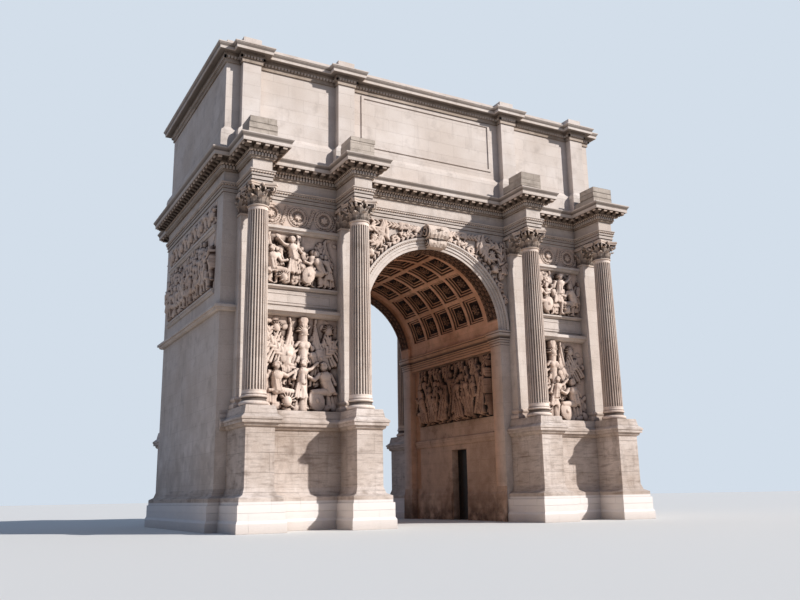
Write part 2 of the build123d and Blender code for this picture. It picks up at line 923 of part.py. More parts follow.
def pintles():
    """The right door's two hinge pins, each on an arm let into the jamb."""
    axis_x, axis_y = pintle_axis()
    pins = []
    for level in knuckle_levels():
        foot_z = level - hinge_clearance - pintle_foot_height
        foot_low = (axis_x - pintle_radius, axis_y, foot_z)
        foot = block(foot_low, (axis_x + pintle_radius, jamb_back_y, foot_z + pintle_foot_height))
        top_z = level - hinge_clearance + knuckle_height
        pin = faceted([ring_of(pintle_radius, z, pintle_sides) for z in (foot_z, top_z)])
        pins.append(foot + Pos(axis_x, axis_y, 0) * pin)
    return pins


def build():
    """Writes every node of the arch."""
    os.makedirs("parts", exist_ok=True)
    write("pier_walls", both_facades(both_sides([pier_front_wall()])))
    flank = block((chamber_outer_x, -chamber_y, 0), (pier_outer_x, chamber_y, architrave_z))
    write("flank_walls", both_sides([flank]))
    beside = [
        block((recess_x, -chamber_y, 0), (chamber_inner_x, jamb_front_y, springing_z)),
        block((recess_x, jamb_back_y, 0), (chamber_inner_x, chamber_y, springing_z)),
    ]
    write("passage_walls", both_sides(beside))
    over_z = doorway_height + door_stop_width
    over = block((recess_x, jamb_front_y, over_z), (chamber_inner_x, jamb_back_y, springing_z))
    write("door_lintel_walls", both_sides([over]))
    write("doorcases", both_sides([doorcase()]))
    write("spandrel_walls", both_facades([spandrel_wall()]))
    write("vault", [vault()])
    write("coffered_lining", [coffered_lining()])
    write("archivolts", both_facades([archivolt()]))
    write("keystones", both_facades([keystone()]))
    write("imposts", both_sides([impost()]))
    write("string_courses", both_sides([string_course()]))
    write("podium_bases", both_facades(both_sides([podium_base()])))
    write("podium_dies", both_facades(both_sides([slab(podium_outline(), die_z, podium_cap_z)])))
    write("podium_caps", both_facades(both_sides([podium_cap()])))
    write("flank_bases", both_sides([flank_base()]))
    write("passage_bases", both_sides(passage_bases()))
    write("column_bases", both_facades(front_columns(column_base())))
    write("column_shafts", both_facades(front_columns(column_shaft())))
    write("column_capitals", both_facades(front_columns(column_capital())))
    write("pilasters", both_facades(pilasters()))
    lower = bay_block(lower_relief_depth, podium_top_z, string_z)
    tablet = bay_block(bay_tablet_out, bay_tablet_z, bay_tablet_z + bay_tablet_height)
    upper = bay_block(upper_relief_depth, upper_relief_z, frieze_shelf_z)
    roundels = bay_block(roundel_frieze_depth, roundel_frieze_z, architrave_z)
    write("lower_reliefs", both_facades(both_sides([lower])))
    write("bay_ledges", both_facades(both_sides(bay_ledges() + [tablet])))
    write("upper_reliefs", both_facades(both_sides([upper])))
    write("roundel_friezes", both_facades(both_sides([roundels])))
    write("flank_ledges", both_sides(flank_ledges()))
    write("flank_reliefs", both_sides(flank_reliefs()))
    ledge_path = [(recess_x, strip_inner_y), (recess_x, -strip_inner_y)]
    ledge = moulding(shelf_marks(passage_ledge_z, passage_ledge_height, passage_ledge_out), ledge_path)
    write("passage_ledges", both_sides([ledge]))
    wide = passage_panel_half_width
    panel = block(
        (recess_x - passage_panel_depth, -wide, passage_panel_z), (recess_x, wide, passage_panel_top_z)
    )
    write("passage_reliefs", both_sides([panel]))
    write("architrave", [architrave()])
    write("frieze", [frieze()])
    write("cornice_bed", [cornice_bed()])
    write("corona", [corona()])
    write("attic_base", [attic_base()])
    write("attic_facade_walls", both_facades([attic_facade_wall()]))
    low = (attic_inner_x, -attic_inner_y, attic_wall_z)
    end = block(low, (pier_outer_x, attic_inner_y, attic_cornice_z))
    write("attic_end_walls", both_sides([end]))
    write("attic_pilasters", both_facades(attic_pilasters()))
    write("attic_cornice_bed", [attic_cornice_bed()])
    write("attic_corona", [attic_corona()])
    write("parapet", [parapet()])
    write("roof", [roof()])
    write("statue_bases", both_facades(statue_bases()))
    leaf = door_leaf()
    write("right_door", [leaf])
    write("left_door", [mirror(leaf, about=Plane.YZ)])
    write("door_pintles", both_sides(pintles()))


build()
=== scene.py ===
"""Visual model of a triumphal arch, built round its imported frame.

The masonry keeps the frame's own pieces where their shape is right. Columns, capitals, cornices, the coffered
vault, the band round the arch and every carved panel are made here, in metres and in the frame's own axes:
X along the facade, Y from the front facade to the back one, Z up.
"""

import json
import logging
import math
from dataclasses import dataclass, field
from enum import Enum
from typing import Callable, Iterable, Sequence

import bmesh
import bpy
import numpy as np
from mathutils import Matrix, Vector

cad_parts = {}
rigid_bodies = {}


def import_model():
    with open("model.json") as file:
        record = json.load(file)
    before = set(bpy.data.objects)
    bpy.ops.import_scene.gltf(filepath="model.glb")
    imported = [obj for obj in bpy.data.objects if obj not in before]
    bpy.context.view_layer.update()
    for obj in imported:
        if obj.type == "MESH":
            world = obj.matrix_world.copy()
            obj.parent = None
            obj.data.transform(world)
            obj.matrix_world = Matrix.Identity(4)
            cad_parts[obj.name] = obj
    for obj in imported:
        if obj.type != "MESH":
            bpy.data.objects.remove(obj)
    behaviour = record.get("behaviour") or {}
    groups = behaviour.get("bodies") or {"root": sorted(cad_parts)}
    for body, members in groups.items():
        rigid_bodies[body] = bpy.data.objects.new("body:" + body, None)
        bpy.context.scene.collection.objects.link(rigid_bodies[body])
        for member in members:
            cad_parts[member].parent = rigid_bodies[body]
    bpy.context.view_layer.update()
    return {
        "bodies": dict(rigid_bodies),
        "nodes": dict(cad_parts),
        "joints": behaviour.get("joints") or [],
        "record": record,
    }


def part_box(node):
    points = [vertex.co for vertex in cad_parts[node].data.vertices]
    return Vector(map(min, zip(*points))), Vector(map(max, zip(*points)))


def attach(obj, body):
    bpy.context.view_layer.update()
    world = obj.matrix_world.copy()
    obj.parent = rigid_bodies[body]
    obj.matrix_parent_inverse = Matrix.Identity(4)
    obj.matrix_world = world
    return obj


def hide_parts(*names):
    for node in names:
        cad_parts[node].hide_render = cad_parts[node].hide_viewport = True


LOG = logging.getLogger("arch")
BODY = "arch"
Point = tuple[float, float, float]


def linear(colour: str) -> tuple[float, float, float, float]:
    """Turns an sRGB hex colour into linear values.

    Args:
        colour: six hex digits after a hash sign.

    Returns:
        Red, green, blue and an alpha of one.
    """
    parts = [int(colour[i : i + 2], 16) / 255 for i in (1, 3, 5)]
    return (*[p / 12.92 if p <= 0.04045 else ((p + 0.055) / 1.055) ** 2.4 for p in parts], 1.0)


def add_node(tree: bpy.types.NodeTree, kind: str, links: dict | None = None, **settings) -> bpy.types.Node:
    """Adds a node with its settings, values and incoming links.

    Args:
        tree: the tree that gets the node.
        kind: the node's type name.
        links: input name or number to a value, or to an output socket that feeds it.
        settings: properties of the node itself.

    Returns:
        The new node.
    """
    node = tree.nodes.new(kind)
    for key, value in settings.items():
        setattr(node, key, value)
    for key, value in (links or {}).items():
        if isinstance(value, bpy.types.NodeSocket):
            tree.links.new(value, node.inputs[key])
        else:
            node.inputs[key].default_value = value
    return node


def new_mesh(
    name: str, points: Sequence, faces: Sequence, smooth: float = 0.0, closed: bool = True
) -> bpy.types.Object:
    """Makes a mesh object from its points and faces.

    Args:
        name: the object's name.
        points: corner positions in metres, each with a share of painted shade and sooty dirt from 0 to 1
            after it where it has any.
        faces: lists of corner numbers.
        smooth: the largest angle in degrees that is shaded smooth, or 0 for flat faces.
        closed: whether the faces close up, so that they can be turned to face outwards.

    Returns:
        The object, linked to the scene.
    """
    mesh = bpy.data.meshes.new(name)
    mesh.from_pydata([tuple(map(float, p[:3])) for p in points], [], [tuple(map(int, f)) for f in faces])
    shade_and_soot = [float(p[3]) if len(p) > 3 else 0.0 for p in points]
    if any(shade_and_soot):
        mesh.attributes.new("shade_and_soot", "FLOAT", "POINT").data.foreach_set("value", shade_and_soot)
    if closed:
        work = bmesh.new()
        work.from_mesh(mesh)
        bmesh.ops.remove_doubles(work, verts=work.verts, dist=1e-5)
        bmesh.ops.recalc_face_normals(work, faces=work.faces)
        work.to_mesh(mesh)
        work.free()
    mesh.validate()
    if smooth:
        mesh.shade_smooth()
        mesh.set_sharp_from_angle(angle=math.radians(smooth))
    piece = bpy.data.objects.new(name, mesh)
    bpy.context.scene.collection.objects.link(piece)
    return piece


def joined(parts: Iterable[tuple[Sequence, Sequence]]) -> tuple[list, list]:
    """Joins several (points, faces) pairs into one."""
    points, faces = [], []
    for more_points, more_faces in parts:
        start = len(points)
        points.extend(more_points)
        faces.extend([[corner + start for corner in face] for face in more_faces])
    return points, faces


def rings_to_faces(rings: int, sides: int, capped: bool = True, closed: bool = False) -> list[list[int]]:
    """Faces between stacked rings of points.

    Args:
        rings: how many rings there are.
        sides: how many points a ring has.
        capped: whether the first and the last ring are filled.
        closed: whether the last ring joins the first.

    Returns:
        Faces whose outward side is right for rings that turn anticlockwise and rise.
    """
    faces = []
    for ring in range(rings if closed else rings - 1):
        above = (ring + 1) % rings
        for side in range(sides):
            after = (side + 1) % sides
            faces.append(
                [ring * sides + side, ring * sides + after, above * sides + after, above * sides + side]
            )
    if capped and not closed:
        faces.append(list(reversed(range(sides))))
        faces.append([(rings - 1) * sides + side for side in range(sides)])
    return faces


def turned_solid(profile: Sequence[tuple], sides: int) -> tuple[list, list]:
    """A turned shape from (radius, height, painted shade and sooty dirt) rows that go from the foot to the
    head.
    """
    points = []
    for radius, *rest in profile:
        for side in range(sides):
            turn = 2 * math.pi * side / sides
            points.append((radius * math.cos(turn), radius * math.sin(turn), *rest))
    return points, rings_to_faces(len(profile), sides)


def swept_ring(profile: Sequence[tuple], outline: Sequence[tuple[float, float]]) -> tuple:
    """Sweeps a closed (outwards, height, painted shade and sooty dirt) profile round a closed plan outline
    with square corners.

    Args:
        profile: profile points from the foot to the head, closed at the wall.
        outline: plan corners, anticlockwise seen from above.

    Returns:
        Points and faces of the closed ring.
    """
    count = len(outline)
    rings = []
    for here in range(count):
        before, corner, after = (Vector(outline[(here + step) % count]) for step in (-1, 0, 1))
        into, out = (corner - before).normalized(), (after - corner).normalized()
        mitre = Vector((into.y, -into.x)) + Vector((out.y, -out.x))
        if into.dot(out) > 0.5:
            mitre /= 2
        rings.append([(*(corner + mitre * reach), *rest) for reach, *rest in profile])
    points = [point for ring in rings for point in ring]
    faces = [list(reversed(face)) for face in rings_to_faces(count, len(profile), closed=True)]
    return points, faces


class Facing(Enum):
    """The four sides of the arch."""

    FRONT = 0
    RIGHT = 90
    BACK = 180
    LEFT = 270

    def turn(self) -> Matrix:
        """Turns a piece made for the front to this side."""
        return Matrix.Rotation(math.radians(self.value), 4, "Z")


def empty_material(name: str) -> tuple[bpy.types.Material, bpy.types.NodeTree, bpy.types.NodeSocket]:
    """Makes a material whose tree has only a coordinates node.

    Args:
        name: the material's name.

    Returns:
        The material, its tree and the socket of the Object coordinates, in metres.
    """
    material = bpy.data.materials.new(name)
    material.use_nodes = True
    material.node_tree.nodes.clear()
    place = add_node(material.node_tree, "ShaderNodeTexCoord").outputs["Object"]
    return material, material.node_tree, place


# Where the passage's painted shade shows, in metres: an axis, how far out it is full, and how far out it has
# ended.
PASSAGE_SHADE_LIMITS = ((0, 3.57, 3.66), (1, 3.3, 4.26), (2, 11.2, 11.6))


@dataclass(frozen=True)
class Limestone:
    """A dressed limestone, pale and matt, that rain streaks, darkened by painted shade and sooty dirt where
    it isn't washed.
    """

    name: str
    light: str
    deep: str
    # This colour serves for the stains and also as the painted shade in hollows.
    stain_and_shade: str
    block_length: float = 1.25
    course_height: float = 0.52
    joint_width: float = 0.006
    joint_depth: float = 0.35
    stain_share: float = 0.5
    streak_share: float = 0.4
    # How strong the painted shade in hollows is, and how far it reaches, in metres.
    hollow_shade_share: float = 0.6
    hollow_shade_reach: float = 0.35
    # The colour of the painted shade and sooty dirt that the points carry.
    shade_and_soot: str = "#40352E"
    slot: str = ""
    bedding: float = 0.0
    washed_foot: str = ""
    washed_height: float = 0.94
    washed_share: float = 0.85
    damp_foot: float = 0.0
    damp_top: float = 1.5
    # A warm colour multiplied into the stone inside the passage, as painted shade.
    passage_shade_tint: str = ""
    grain: float = 0.5
    roughness: float = 0.88

    def build(self) -> bpy.types.Material:
        """Makes the material.

        Returns:
            A material that reads Object coordinates, in metres.
        """
        material, tree, place = empty_material(self.name)
        colour = self.stone_colour(tree, place)
        joint = self.joints(tree, place)
        colour = self.mixed(tree, "MULTIPLY", self.joint_depth, colour, joint.outputs["Color"])
        colour = self.weathered_and_shaded(tree, place, colour)
        normal = self.surface(tree, place, joint.outputs["Fac"])
        shader = add_node(
            tree,
            "ShaderNodeBsdfPrincipled",
            {"Base Color": colour, "Normal": normal, "Roughness": self.roughness},
        )
        shader.inputs["Specular IOR Level"].default_value = 0.3
        add_node(tree, "ShaderNodeOutputMaterial", {"Surface": shader.outputs[0]})
        return material

    def mixed(self, tree: bpy.types.NodeTree, way: str, share, under, over) -> bpy.types.NodeSocket:
        """Mixes two colours.

        Args:
            tree: the material's tree.
            way: the blend type.
            share: how much of the second colour shows, a number or a socket.
            under: the first colour, a value or a socket.
            over: the second colour, a value or a socket.

        Returns:
            The mixed colour's socket.
        """
        kinds = {"data_type": "RGBA", "blend_type": way, "clamp_factor": True}
        return add_node(tree, "ShaderNodeMix", {0: share, 6: under, 7: over}, **kinds).outputs[2]

    def noise(
        self, tree, place, scale: float, detail: float, stretch: Point = (1, 1, 1)
    ) -> bpy.types.NodeSocket:
        """A noise value.

        Args:
            tree: the material's tree.
            place: the coordinates' socket.
            scale: features per metre.
            detail: how many finer octaves it has.
            stretch: factors on the coordinates, under one where features are long.

        Returns:
            The noise's value socket.
        """
        spot = add_node(tree, "ShaderNodeMapping", {"Vector": place, "Scale": stretch}).outputs[0]
        node = add_node(tree, "ShaderNodeTexNoise", {"Vector": spot, "Scale": scale, "Detail": detail})
        node.inputs["Roughness"].default_value = 0.62
        return node.outputs["Fac"]

    def ramp(self, tree, value, low: float, high: float) -> bpy.types.NodeSocket:
        """Spreads a value from low to high over zero to one."""
        node = add_node(
            tree, "ShaderNodeMapRange", {"Value": value, "From Min": low, "From Max": high}, clamp=True
        )
        return node.outputs[0]

    def stone_colour(self, tree, place) -> bpy.types.NodeSocket:
        """The stone's own colour: slow changes from bed to bed, blotches and a fine grain."""
        slow = self.ramp(tree, self.noise(tree, place, 0.45, 3), 0.35, 0.65)
        blotch = self.ramp(tree, self.noise(tree, place, 2.6, 6), 0.4, 0.72)
        fine = self.ramp(tree, self.noise(tree, place, 34, 4), 0.35, 0.7)
        colour = self.mixed(tree, "MIX", slow, linear(self.light), linear(self.deep))
        colour = self.mixed(tree, "MIX", self.times(tree, blotch, 0.45), colour, linear(self.deep))
        return self.mixed(tree, "SOFT_LIGHT", 0.25, colour, fine)

    def joints(self, tree, place) -> bpy.types.Node:
        """The block pattern, laid in the plane that each face looks out of."""
        split = add_node(tree, "ShaderNodeSeparateXYZ", {0: place}).outputs
        normal = add_node(tree, "ShaderNodeNewGeometry").outputs["True Normal"]
        facing = add_node(tree, "ShaderNodeSeparateXYZ", {0: normal})
        sizes = [
            add_node(tree, "ShaderNodeMath", {0: facing.outputs[axis]}, operation="ABSOLUTE").outputs[0]
            for axis in (0, 1)
        ]
        larger = {0: sizes[0], 1: sizes[1]}
        sideways = add_node(tree, "ShaderNodeMath", larger, operation="GREATER_THAN").outputs[0]
        along = add_node(tree, "ShaderNodeMix", {0: sideways, 2: split[0], 3: split[1]}).outputs[0]
        flat = add_node(tree, "ShaderNodeCombineXYZ", {0: along, 1: split[2]}).outputs[0]
        return add_node(
            tree,
            "ShaderNodeTexBrick",
            {
                "Vector": flat,
                "Scale": 1.0,
                "Color1": (0.80, 0.79, 0.78, 1),
                "Color2": (1, 1, 1, 1),
                "Mortar": (0.42, 0.38, 0.34, 1),
                "Mortar Size": self.joint_width,
                "Mortar Smooth": 0.3,
                "Brick Width": self.block_length,
                "Row Height": self.course_height,
            },
            offset=0.5,
        )

    def within(self, tree, place, axis: int, near: float, far: float) -> bpy.types.NodeSocket:
        """One where a coordinate's size is under the near limit, and zero past the far one."""
        value = add_node(tree, "ShaderNodeSeparateXYZ", {0: place}).outputs[axis]
        size = add_node(tree, "ShaderNodeMath", {0: value}, operation="ABSOLUTE").outputs[0]
        return self.ramp(tree, size, far, near)

    def times(self, tree, *values) -> bpy.types.NodeSocket:
        """The product of several numbers or sockets."""
        product = values[0]
        for value in values[1:]:
            pair = {0: product, 1: value}
            product = add_node(tree, "ShaderNodeMath", pair, operation="MULTIPLY").outputs[0]
        return product

    def placed_marks(self, tree, place, colour) -> bpy.types.NodeSocket:
        """Adds what depends on the place: the stone's beds, a washed or damp foot, and the warm painted shade
        inside the passage.
        """
        if self.bedding:
            bed = self.ramp(tree, self.noise(tree, place, 1.6, 8, (1, 1, 7)), 0.5, 0.68)
            colour = self.mixed(tree, "MIX", self.times(tree, bed, self.bedding), colour, linear(self.stain_and_shade))
        # Painted shade: inside the passage the stone is multiplied by a warm tint, as the shade there is lit
        # only by the ground.
        if self.passage_shade_tint:
            inside = [self.within(tree, place, *limits) for limits in PASSAGE_SHADE_LIMITS]
            share = self.times(tree, *inside)
            colour = self.mixed(tree, "MULTIPLY", share, colour, linear(self.passage_shade_tint))
        if self.washed_foot:
            edge = self.within(tree, place, 2, self.washed_height, self.washed_height + 0.03)
            foot = self.times(tree, edge, self.washed_share)
            colour = self.mixed(tree, "MIX", foot, colour, linear(self.washed_foot))
        if self.damp_foot:
            blotch = self.ramp(tree, self.noise(tree, place, 1.8, 6), 0.36, 0.6)
            damp = self.times(tree, self.within(tree, place, 2, 0.1, self.damp_top), blotch, self.damp_foot)
            colour = self.mixed(tree, "MIX", damp, colour, linear(self.stain_and_shade))
        return colour

    def weathered_and_shaded(self, tree, place, colour) -> bpy.types.NodeSocket:
        """Adds rain streaks on upright faces, blotched stains, painted shade in the hollows, and the painted
        shade and sooty dirt that the points carry.
        """
        streak = self.ramp(tree, self.noise(tree, place, 2.4, 6, (1.6, 1.6, 0.16)), 0.52, 0.78)
        patch = self.ramp(tree, self.noise(tree, place, 0.7, 5), 0.42, 0.68)
        share = self.times(tree, streak, patch, self.streak_share)
        colour = self.mixed(tree, "MIX", share, colour, linear(self.stain_and_shade))
        blot = self.ramp(tree, self.noise(tree, place, 1.3, 7), 0.55, 0.8)
        colour = self.mixed(tree, "MIX", self.times(tree, blot, self.stain_share), colour, linear(self.stain_and_shade))
        colour = self.placed_marks(tree, place, colour)
        # Painted shade: ambient occlusion darkens corners, creases and recesses towards the colour of the
        # stains.
        reach = {"Distance": self.hollow_shade_reach}
        hollow = add_node(tree, "ShaderNodeAmbientOcclusion", reach, samples=4).outputs["AO"]
        painted_shade = add_node(
            tree,
            "ShaderNodeMapRange",
            {"Value": hollow, "From Min": 0.85, "From Max": 0.25, "To Max": self.hollow_shade_share},
            clamp=True,
        ).outputs[0]
        colour = self.mixed(tree, "MIX", painted_shade, colour, linear(self.stain_and_shade))
        # Painted shade and sooty dirt: a share that each point carries darkens the colour, mostly in hollows,
        # under overhangs and in flutes and coffers.
        shade_and_soot = add_node(tree, "ShaderNodeAttribute", attribute_name="shade_and_soot").outputs["Fac"]
        return self.mixed(tree, "MIX", shade_and_soot, colour, linear(self.shade_and_soot))

    def surface(self, tree, place, joint) -> bpy.types.NodeSocket:
        """Bumps for the joints and the tooled face, whose pits are drawn coarse enough to show."""
        pits = self.noise(tree, place, 26 - 8 * self.bedding, 7, (1, 1, 1 + 2 * self.bedding))
        terms = {0: joint, 1: -1.2, 2: pits}
        level = add_node(tree, "ShaderNodeMath", terms, operation="MULTIPLY_ADD").outputs[0]
        bump = add_node(tree, "ShaderNodeBump", {"Height": level, "Strength": self.grain, "Distance": 0.012})
        return bump.outputs["Normal"]


@dataclass(frozen=True)
class DarkMetal:
    """Old painted or wrought metal, nearly black, with a dull sheen and a little brown where it is rubbed."""

    name: str
    base: str
    rubbed: str
    roughness: float = 0.55

    def build(self) -> bpy.types.Material:
        """Makes the material.

        Returns:
            A dark material that reads Object coordinates.
        """
        material, tree, place = empty_material(self.name)
        spots = add_node(tree, "ShaderNodeTexNoise", {"Vector": place, "Scale": 9.0, "Detail": 6.0})
        spots = spots.outputs["Fac"]
        limits = {"Value": spots, "From Min": 0.45, "From Max": 0.75}
        wear = add_node(tree, "ShaderNodeMapRange", limits, clamp=True)
        tint = add_node(tree, "ShaderNodeMix", data_type="RGBA")
        tree.links.new(wear.outputs[0], tint.inputs[0])
        tint.inputs[6].default_value = linear(self.base)
        tint.inputs[7].default_value = linear(self.rubbed)
        bump = add_node(tree, "ShaderNodeBump", {"Height": spots, "Strength": 0.3, "Distance": 0.004})
        shader = add_node(
            tree,
            "ShaderNodeBsdfPrincipled",
            {"Base Color": tint.outputs[2], "Normal": bump.outputs[0], "Roughness": self.roughness},
        )
        add_node(tree, "ShaderNodeOutputMaterial", {"Surface": shader.outputs[0]})
        return material


class Finish(Enum):
    """The finishes. A value is the record's slot, apart from the ones with painted shade or lichen, whose
    recipes name theirs.
    """

    ASHLAR = "limestone"
    SHADED_SOOTED = "sooted_limestone"
    MOSSY = "mossy_limestone"
    COLUMN = "column_stone"
    PODIUM = "podium_stone"
    CARVED = "carved_stone"
    RELIEF = "relief_stone"
    PASSAGE = "passage_stone"
    DARK_RELIEF = "dark_relief_stone"
    VAULT = "vault_stone"
    RUBBLE = "rubble_core"
    ROOF = "roof_slabs"
    DOOR = "door_bronze"
    IRON = "iron"


FINISHES = {
    # Sawn limestone ashlar: matt and nearly white with a pink cast, tight joints, grey where water runs, with
    # painted shade in its hollows and a warm painted shade inside the passage.
    Finish.ASHLAR: Limestone(
        "weathered_ashlar_limestone", "#E3D8D0", "#D2C4B9", "#8B7F77", streak_share=0.5, damp_foot=0.4,
        damp_top=5.5, passage_shade_tint="#F6CDAE",
    ),
    # The same stone under the overhangs, brown and dull: painted shade, with the sooty dirt that rain never
    # washes off.
    Finish.SHADED_SOOTED: Limestone(
        "shaded_sooted_overhang_limestone", "#C9B9AB", "#A39283", "#4A3D33", stain_share=0.8, hollow_shade_share=0.95,
        slot="limestone",
    ),
    # Stone that lies open to the rain on every side: split in beds and grown over with grey lichen.
    Finish.MOSSY: Limestone(
        "lichen_grey_limestone", "#CFC2B5", "#ADA094", "#6A6056", block_length=0.9, course_height=0.24,
        joint_depth=0.8, stain_share=0.8, streak_share=0.8, grain=0.9, slot="limestone",
    ),
    # Turned and fluted limestone: pale on the edges of the flutes, with painted shade nearly black inside
    # them and a wide painted shade on the side towards the wall.
    Finish.COLUMN: Limestone(
        "streaked_column_limestone", "#F8E8DB", "#E4D0C2", "#54402F", block_length=9.0, course_height=0.93,
        streak_share=0.5, hollow_shade_share=0.6, hollow_shade_reach=0.7,
    ),
    # Big podium blocks: washed pale in places and streaked by rain, with a wide brown painted shade in the
    # corners and under every ledge, and a warm painted shade inside the passage.
    Finish.PODIUM: Limestone(
        "rain_stained_podium_limestone", "#E2D5CC", "#B9A89B", "#75655A", block_length=1.5,
        course_height=0.62, stain_share=0.75, streak_share=0.9, hollow_shade_share=0.65, hollow_shade_reach=0.9,
        grain=1.0, bedding=0.5, washed_foot="#F4EEEA", passage_shade_tint="#F0C8AA",
    ),
    # Deeply cut ornament: bright tips over hollows darkened by painted shade and sooty dirt.
    Finish.CARVED: Limestone(
        "carved_limestone", "#E8D8CB", "#CFBAAA", "#523F33", block_length=3.0, course_height=2.0,
        hollow_shade_share=0.95, hollow_shade_reach=0.22,
    ),
    # Carved panels: pale on the high parts, with painted shade and sooty dirt turning the ground between them
    # dark brown.
    Finish.RELIEF: Limestone(
        "relief_limestone", "#F0DDCF", "#DAC3B3", "#553E32", block_length=1.6, course_height=0.85,
        hollow_shade_share=0.75, hollow_shade_reach=0.25, shade_and_soot="#402C22",
    ),
    # The passage's stone, with the passage's shade and the warm light off the ground painted into its colour:
    # warm brown with darker smears.
    Finish.PASSAGE: Limestone(
        "shaded_passage_limestone", "#DCBEA8", "#B39682", "#523E32", block_length=1.2, course_height=0.5,
        stain_share=0.6, damp_foot=0.9, shade_and_soot="#2A1D16",
    ),
    # The panels on the passage walls, in the passage's painted shade: nearly black painted shade between
    # figures that are brown.
    Finish.DARK_RELIEF: Limestone(
        "shaded_relief_limestone", "#D6B096", "#8B6B57", "#2A1D17", block_length=1.6, course_height=0.85,
        hollow_shade_share=1.0, hollow_shade_reach=0.3, shade_and_soot="#150E0B", slot="relief_stone",
    ),
    # The vault's stone, in the passage's painted shade with the warm light off the ground painted in: the
    # warmest brown, lighter on the ribs, with painted shade black at the back of the coffers.
    Finish.VAULT: Limestone(
        "vault_limestone_with_painted_shade", "#F6C7A8", "#C79678", "#36231A", block_length=3.0, course_height=2.0,
        hollow_shade_share=0.6, hollow_shade_reach=0.12, shade_and_soot="#2B1A12",
    ),
    # Small rough stones in thick mortar, as the core of a wall is built.
    Finish.RUBBLE: Limestone(
        "rough_core_masonry", "#A79988", "#8A7B6B", "#5A5045", block_length=0.4, course_height=0.2
    ),
    # Roof slabs: greyer than the walls, blotched by standing water.
    Finish.ROOF: Limestone(
        "roof_slab_limestone", "#CFC3B4", "#B4A797", "#7B7064", block_length=0.9, course_height=0.6
    ),
    # Painted bronze: nearly black, with a dull sheen on its edges.
    Finish.DOOR: DarkMetal("dark_painted_door_bronze", "#15110E", "#2A211B"),
    # Forged iron: black, rough and slightly brown.
    Finish.IRON: DarkMetal("wrought_hinge_iron", "#1C1917", "#3A2E26", roughness=0.6),
}

# The beds under the cornices get the darker finish, with painted shade and sooty dirt.
SHADED_SOOTY_NODES = {"cornice_bed": Finish.SHADED_SOOTED, "attic_cornice_bed": Finish.SHADED_SOOTED}


class Palette:
    """Makes each finish's material once and dresses pieces with it."""

    def __init__(self) -> None:
        """Builds every material."""
        self.materials = {finish: recipe.build() for finish, recipe in FINISHES.items()}

    def dress(self, piece: bpy.types.Object, finish: Finish) -> None:
        """Gives a piece one finish all over."""
        piece.data.materials.clear()
        piece.data.materials.append(self.materials[finish])

    def dress_frame(self, frame: dict) -> None:
        """Gives every piece of the frame the finish of its slot in the record, or a darker one with painted
        shade and sooty dirt.
        """
        slots = {row["node"]: row["material_slot"] for row in frame["record"]["subparts"]}
        for name, piece in frame["nodes"].items():
            if isinstance(piece, str):
                piece = bpy.data.objects[piece]
            self.dress(piece, SHADED_SOOTY_NODES.get(name) or Finish(slots[name]))


class Workshop:
    """Holds the palette and the copying tree, and finishes every piece in the same way."""

    def __init__(self, palette: Palette) -> None:
        """Keeps the palette and builds the copying tree."""
        self.palette = palette
        self.tree = self.build_tree()

    def build_tree(self) -> bpy.types.NodeTree:
        """Builds the tree that copies a piece to every place and turns each copy.

        Returns:
            The tree, with named inputs for the places, the piece and its finish.
        """
        tree = bpy.data.node_groups.new("copies_at_places", "GeometryNodeTree")
        kinds = {"Places": "Geometry", "Piece": "Object", "Finish": "Material"}
        for name, kind in kinds.items():
            tree.interface.new_socket(name, in_out="INPUT", socket_type=f"NodeSocket{kind}")
        tree.interface.new_socket("Copies", in_out="OUTPUT", socket_type="NodeSocketGeometry")
        given = add_node(tree, "NodeGroupInput").outputs
        piece = add_node(tree, "GeometryNodeObjectInfo", {"Object": given["Piece"], "As Instance": True})
        turn = add_node(tree, "GeometryNodeInputNamedAttribute", {"Name": "turn"}, data_type="FLOAT_VECTOR")
        copies = add_node(
            tree,
            "GeometryNodeInstanceOnPoints",
            {"Points": given["Places"], "Instance": piece.outputs["Geometry"], "Rotation": turn.outputs[0]},
        )
        real = add_node(tree, "GeometryNodeRealizeInstances", {0: copies.outputs[0]})
        dressed = add_node(tree, "GeometryNodeSetMaterial", {0: real.outputs[0], "Material": given["Finish"]})
        add_node(tree, "NodeGroupOutput", {0: dressed.outputs[0]})
        return tree

    def copy(
        self, name: str, piece: bpy.types.Object, places: Sequence, finish: Finish, *replaced: str
    ) -> None:
        """Copies a piece to places, as one object of plain mesh, and removes the piece itself.

        Args:
            name: the new object's name.
            piece: the small piece, made round the origin.
            places: (position, turn in radians about X, Y and Z) for each copy.
            finish: the finish that the copies wear.
            replaced: names of the frame's pieces that the copies replace.
        """
        mesh = bpy.data.meshes.new(name)
        mesh.from_pydata([tuple(spot) for spot, _ in places], [], [])
        turns = np.array([turn for _, turn in places], float).ravel()
        mesh.attributes.new("turn", "FLOAT_VECTOR", "POINT").data.foreach_set("vector", turns)
        host = bpy.data.objects.new(name, mesh)
        bpy.context.scene.collection.objects.link(host)
        modifier = host.modifiers.new("copies", "NODES")
        modifier.node_group = self.tree
        named = {item.name: item.identifier for item in self.tree.interface.items_tree}
        modifier[named["Piece"]] = piece
        modifier[named["Finish"]] = self.palette.materials[finish]
        made = bpy.data.meshes.new_from_object(host.evaluated_get(bpy.context.evaluated_depsgraph_get()))
        host.modifiers.clear()
        host.data = made
        bpy.data.objects.remove(piece)
        self.finish(host, finish, *replaced)

    def finish(self, piece: bpy.types.Object, finish: Finish, *replaced: str) -> None:
        """Dresses a piece, lets it ride on the arch and hides the frame's pieces that it stands for.

        Args:
            piece: a finished piece at the origin.
            finish: its finish.
            replaced: names of the frame's pieces that it replaces.
        """
        self.palette.dress(piece, finish)
        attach(piece, BODY)
        if replaced:
            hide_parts(*replaced)
        LOG.info("%s: %d faces", piece.name, len(piece.data.polygons))


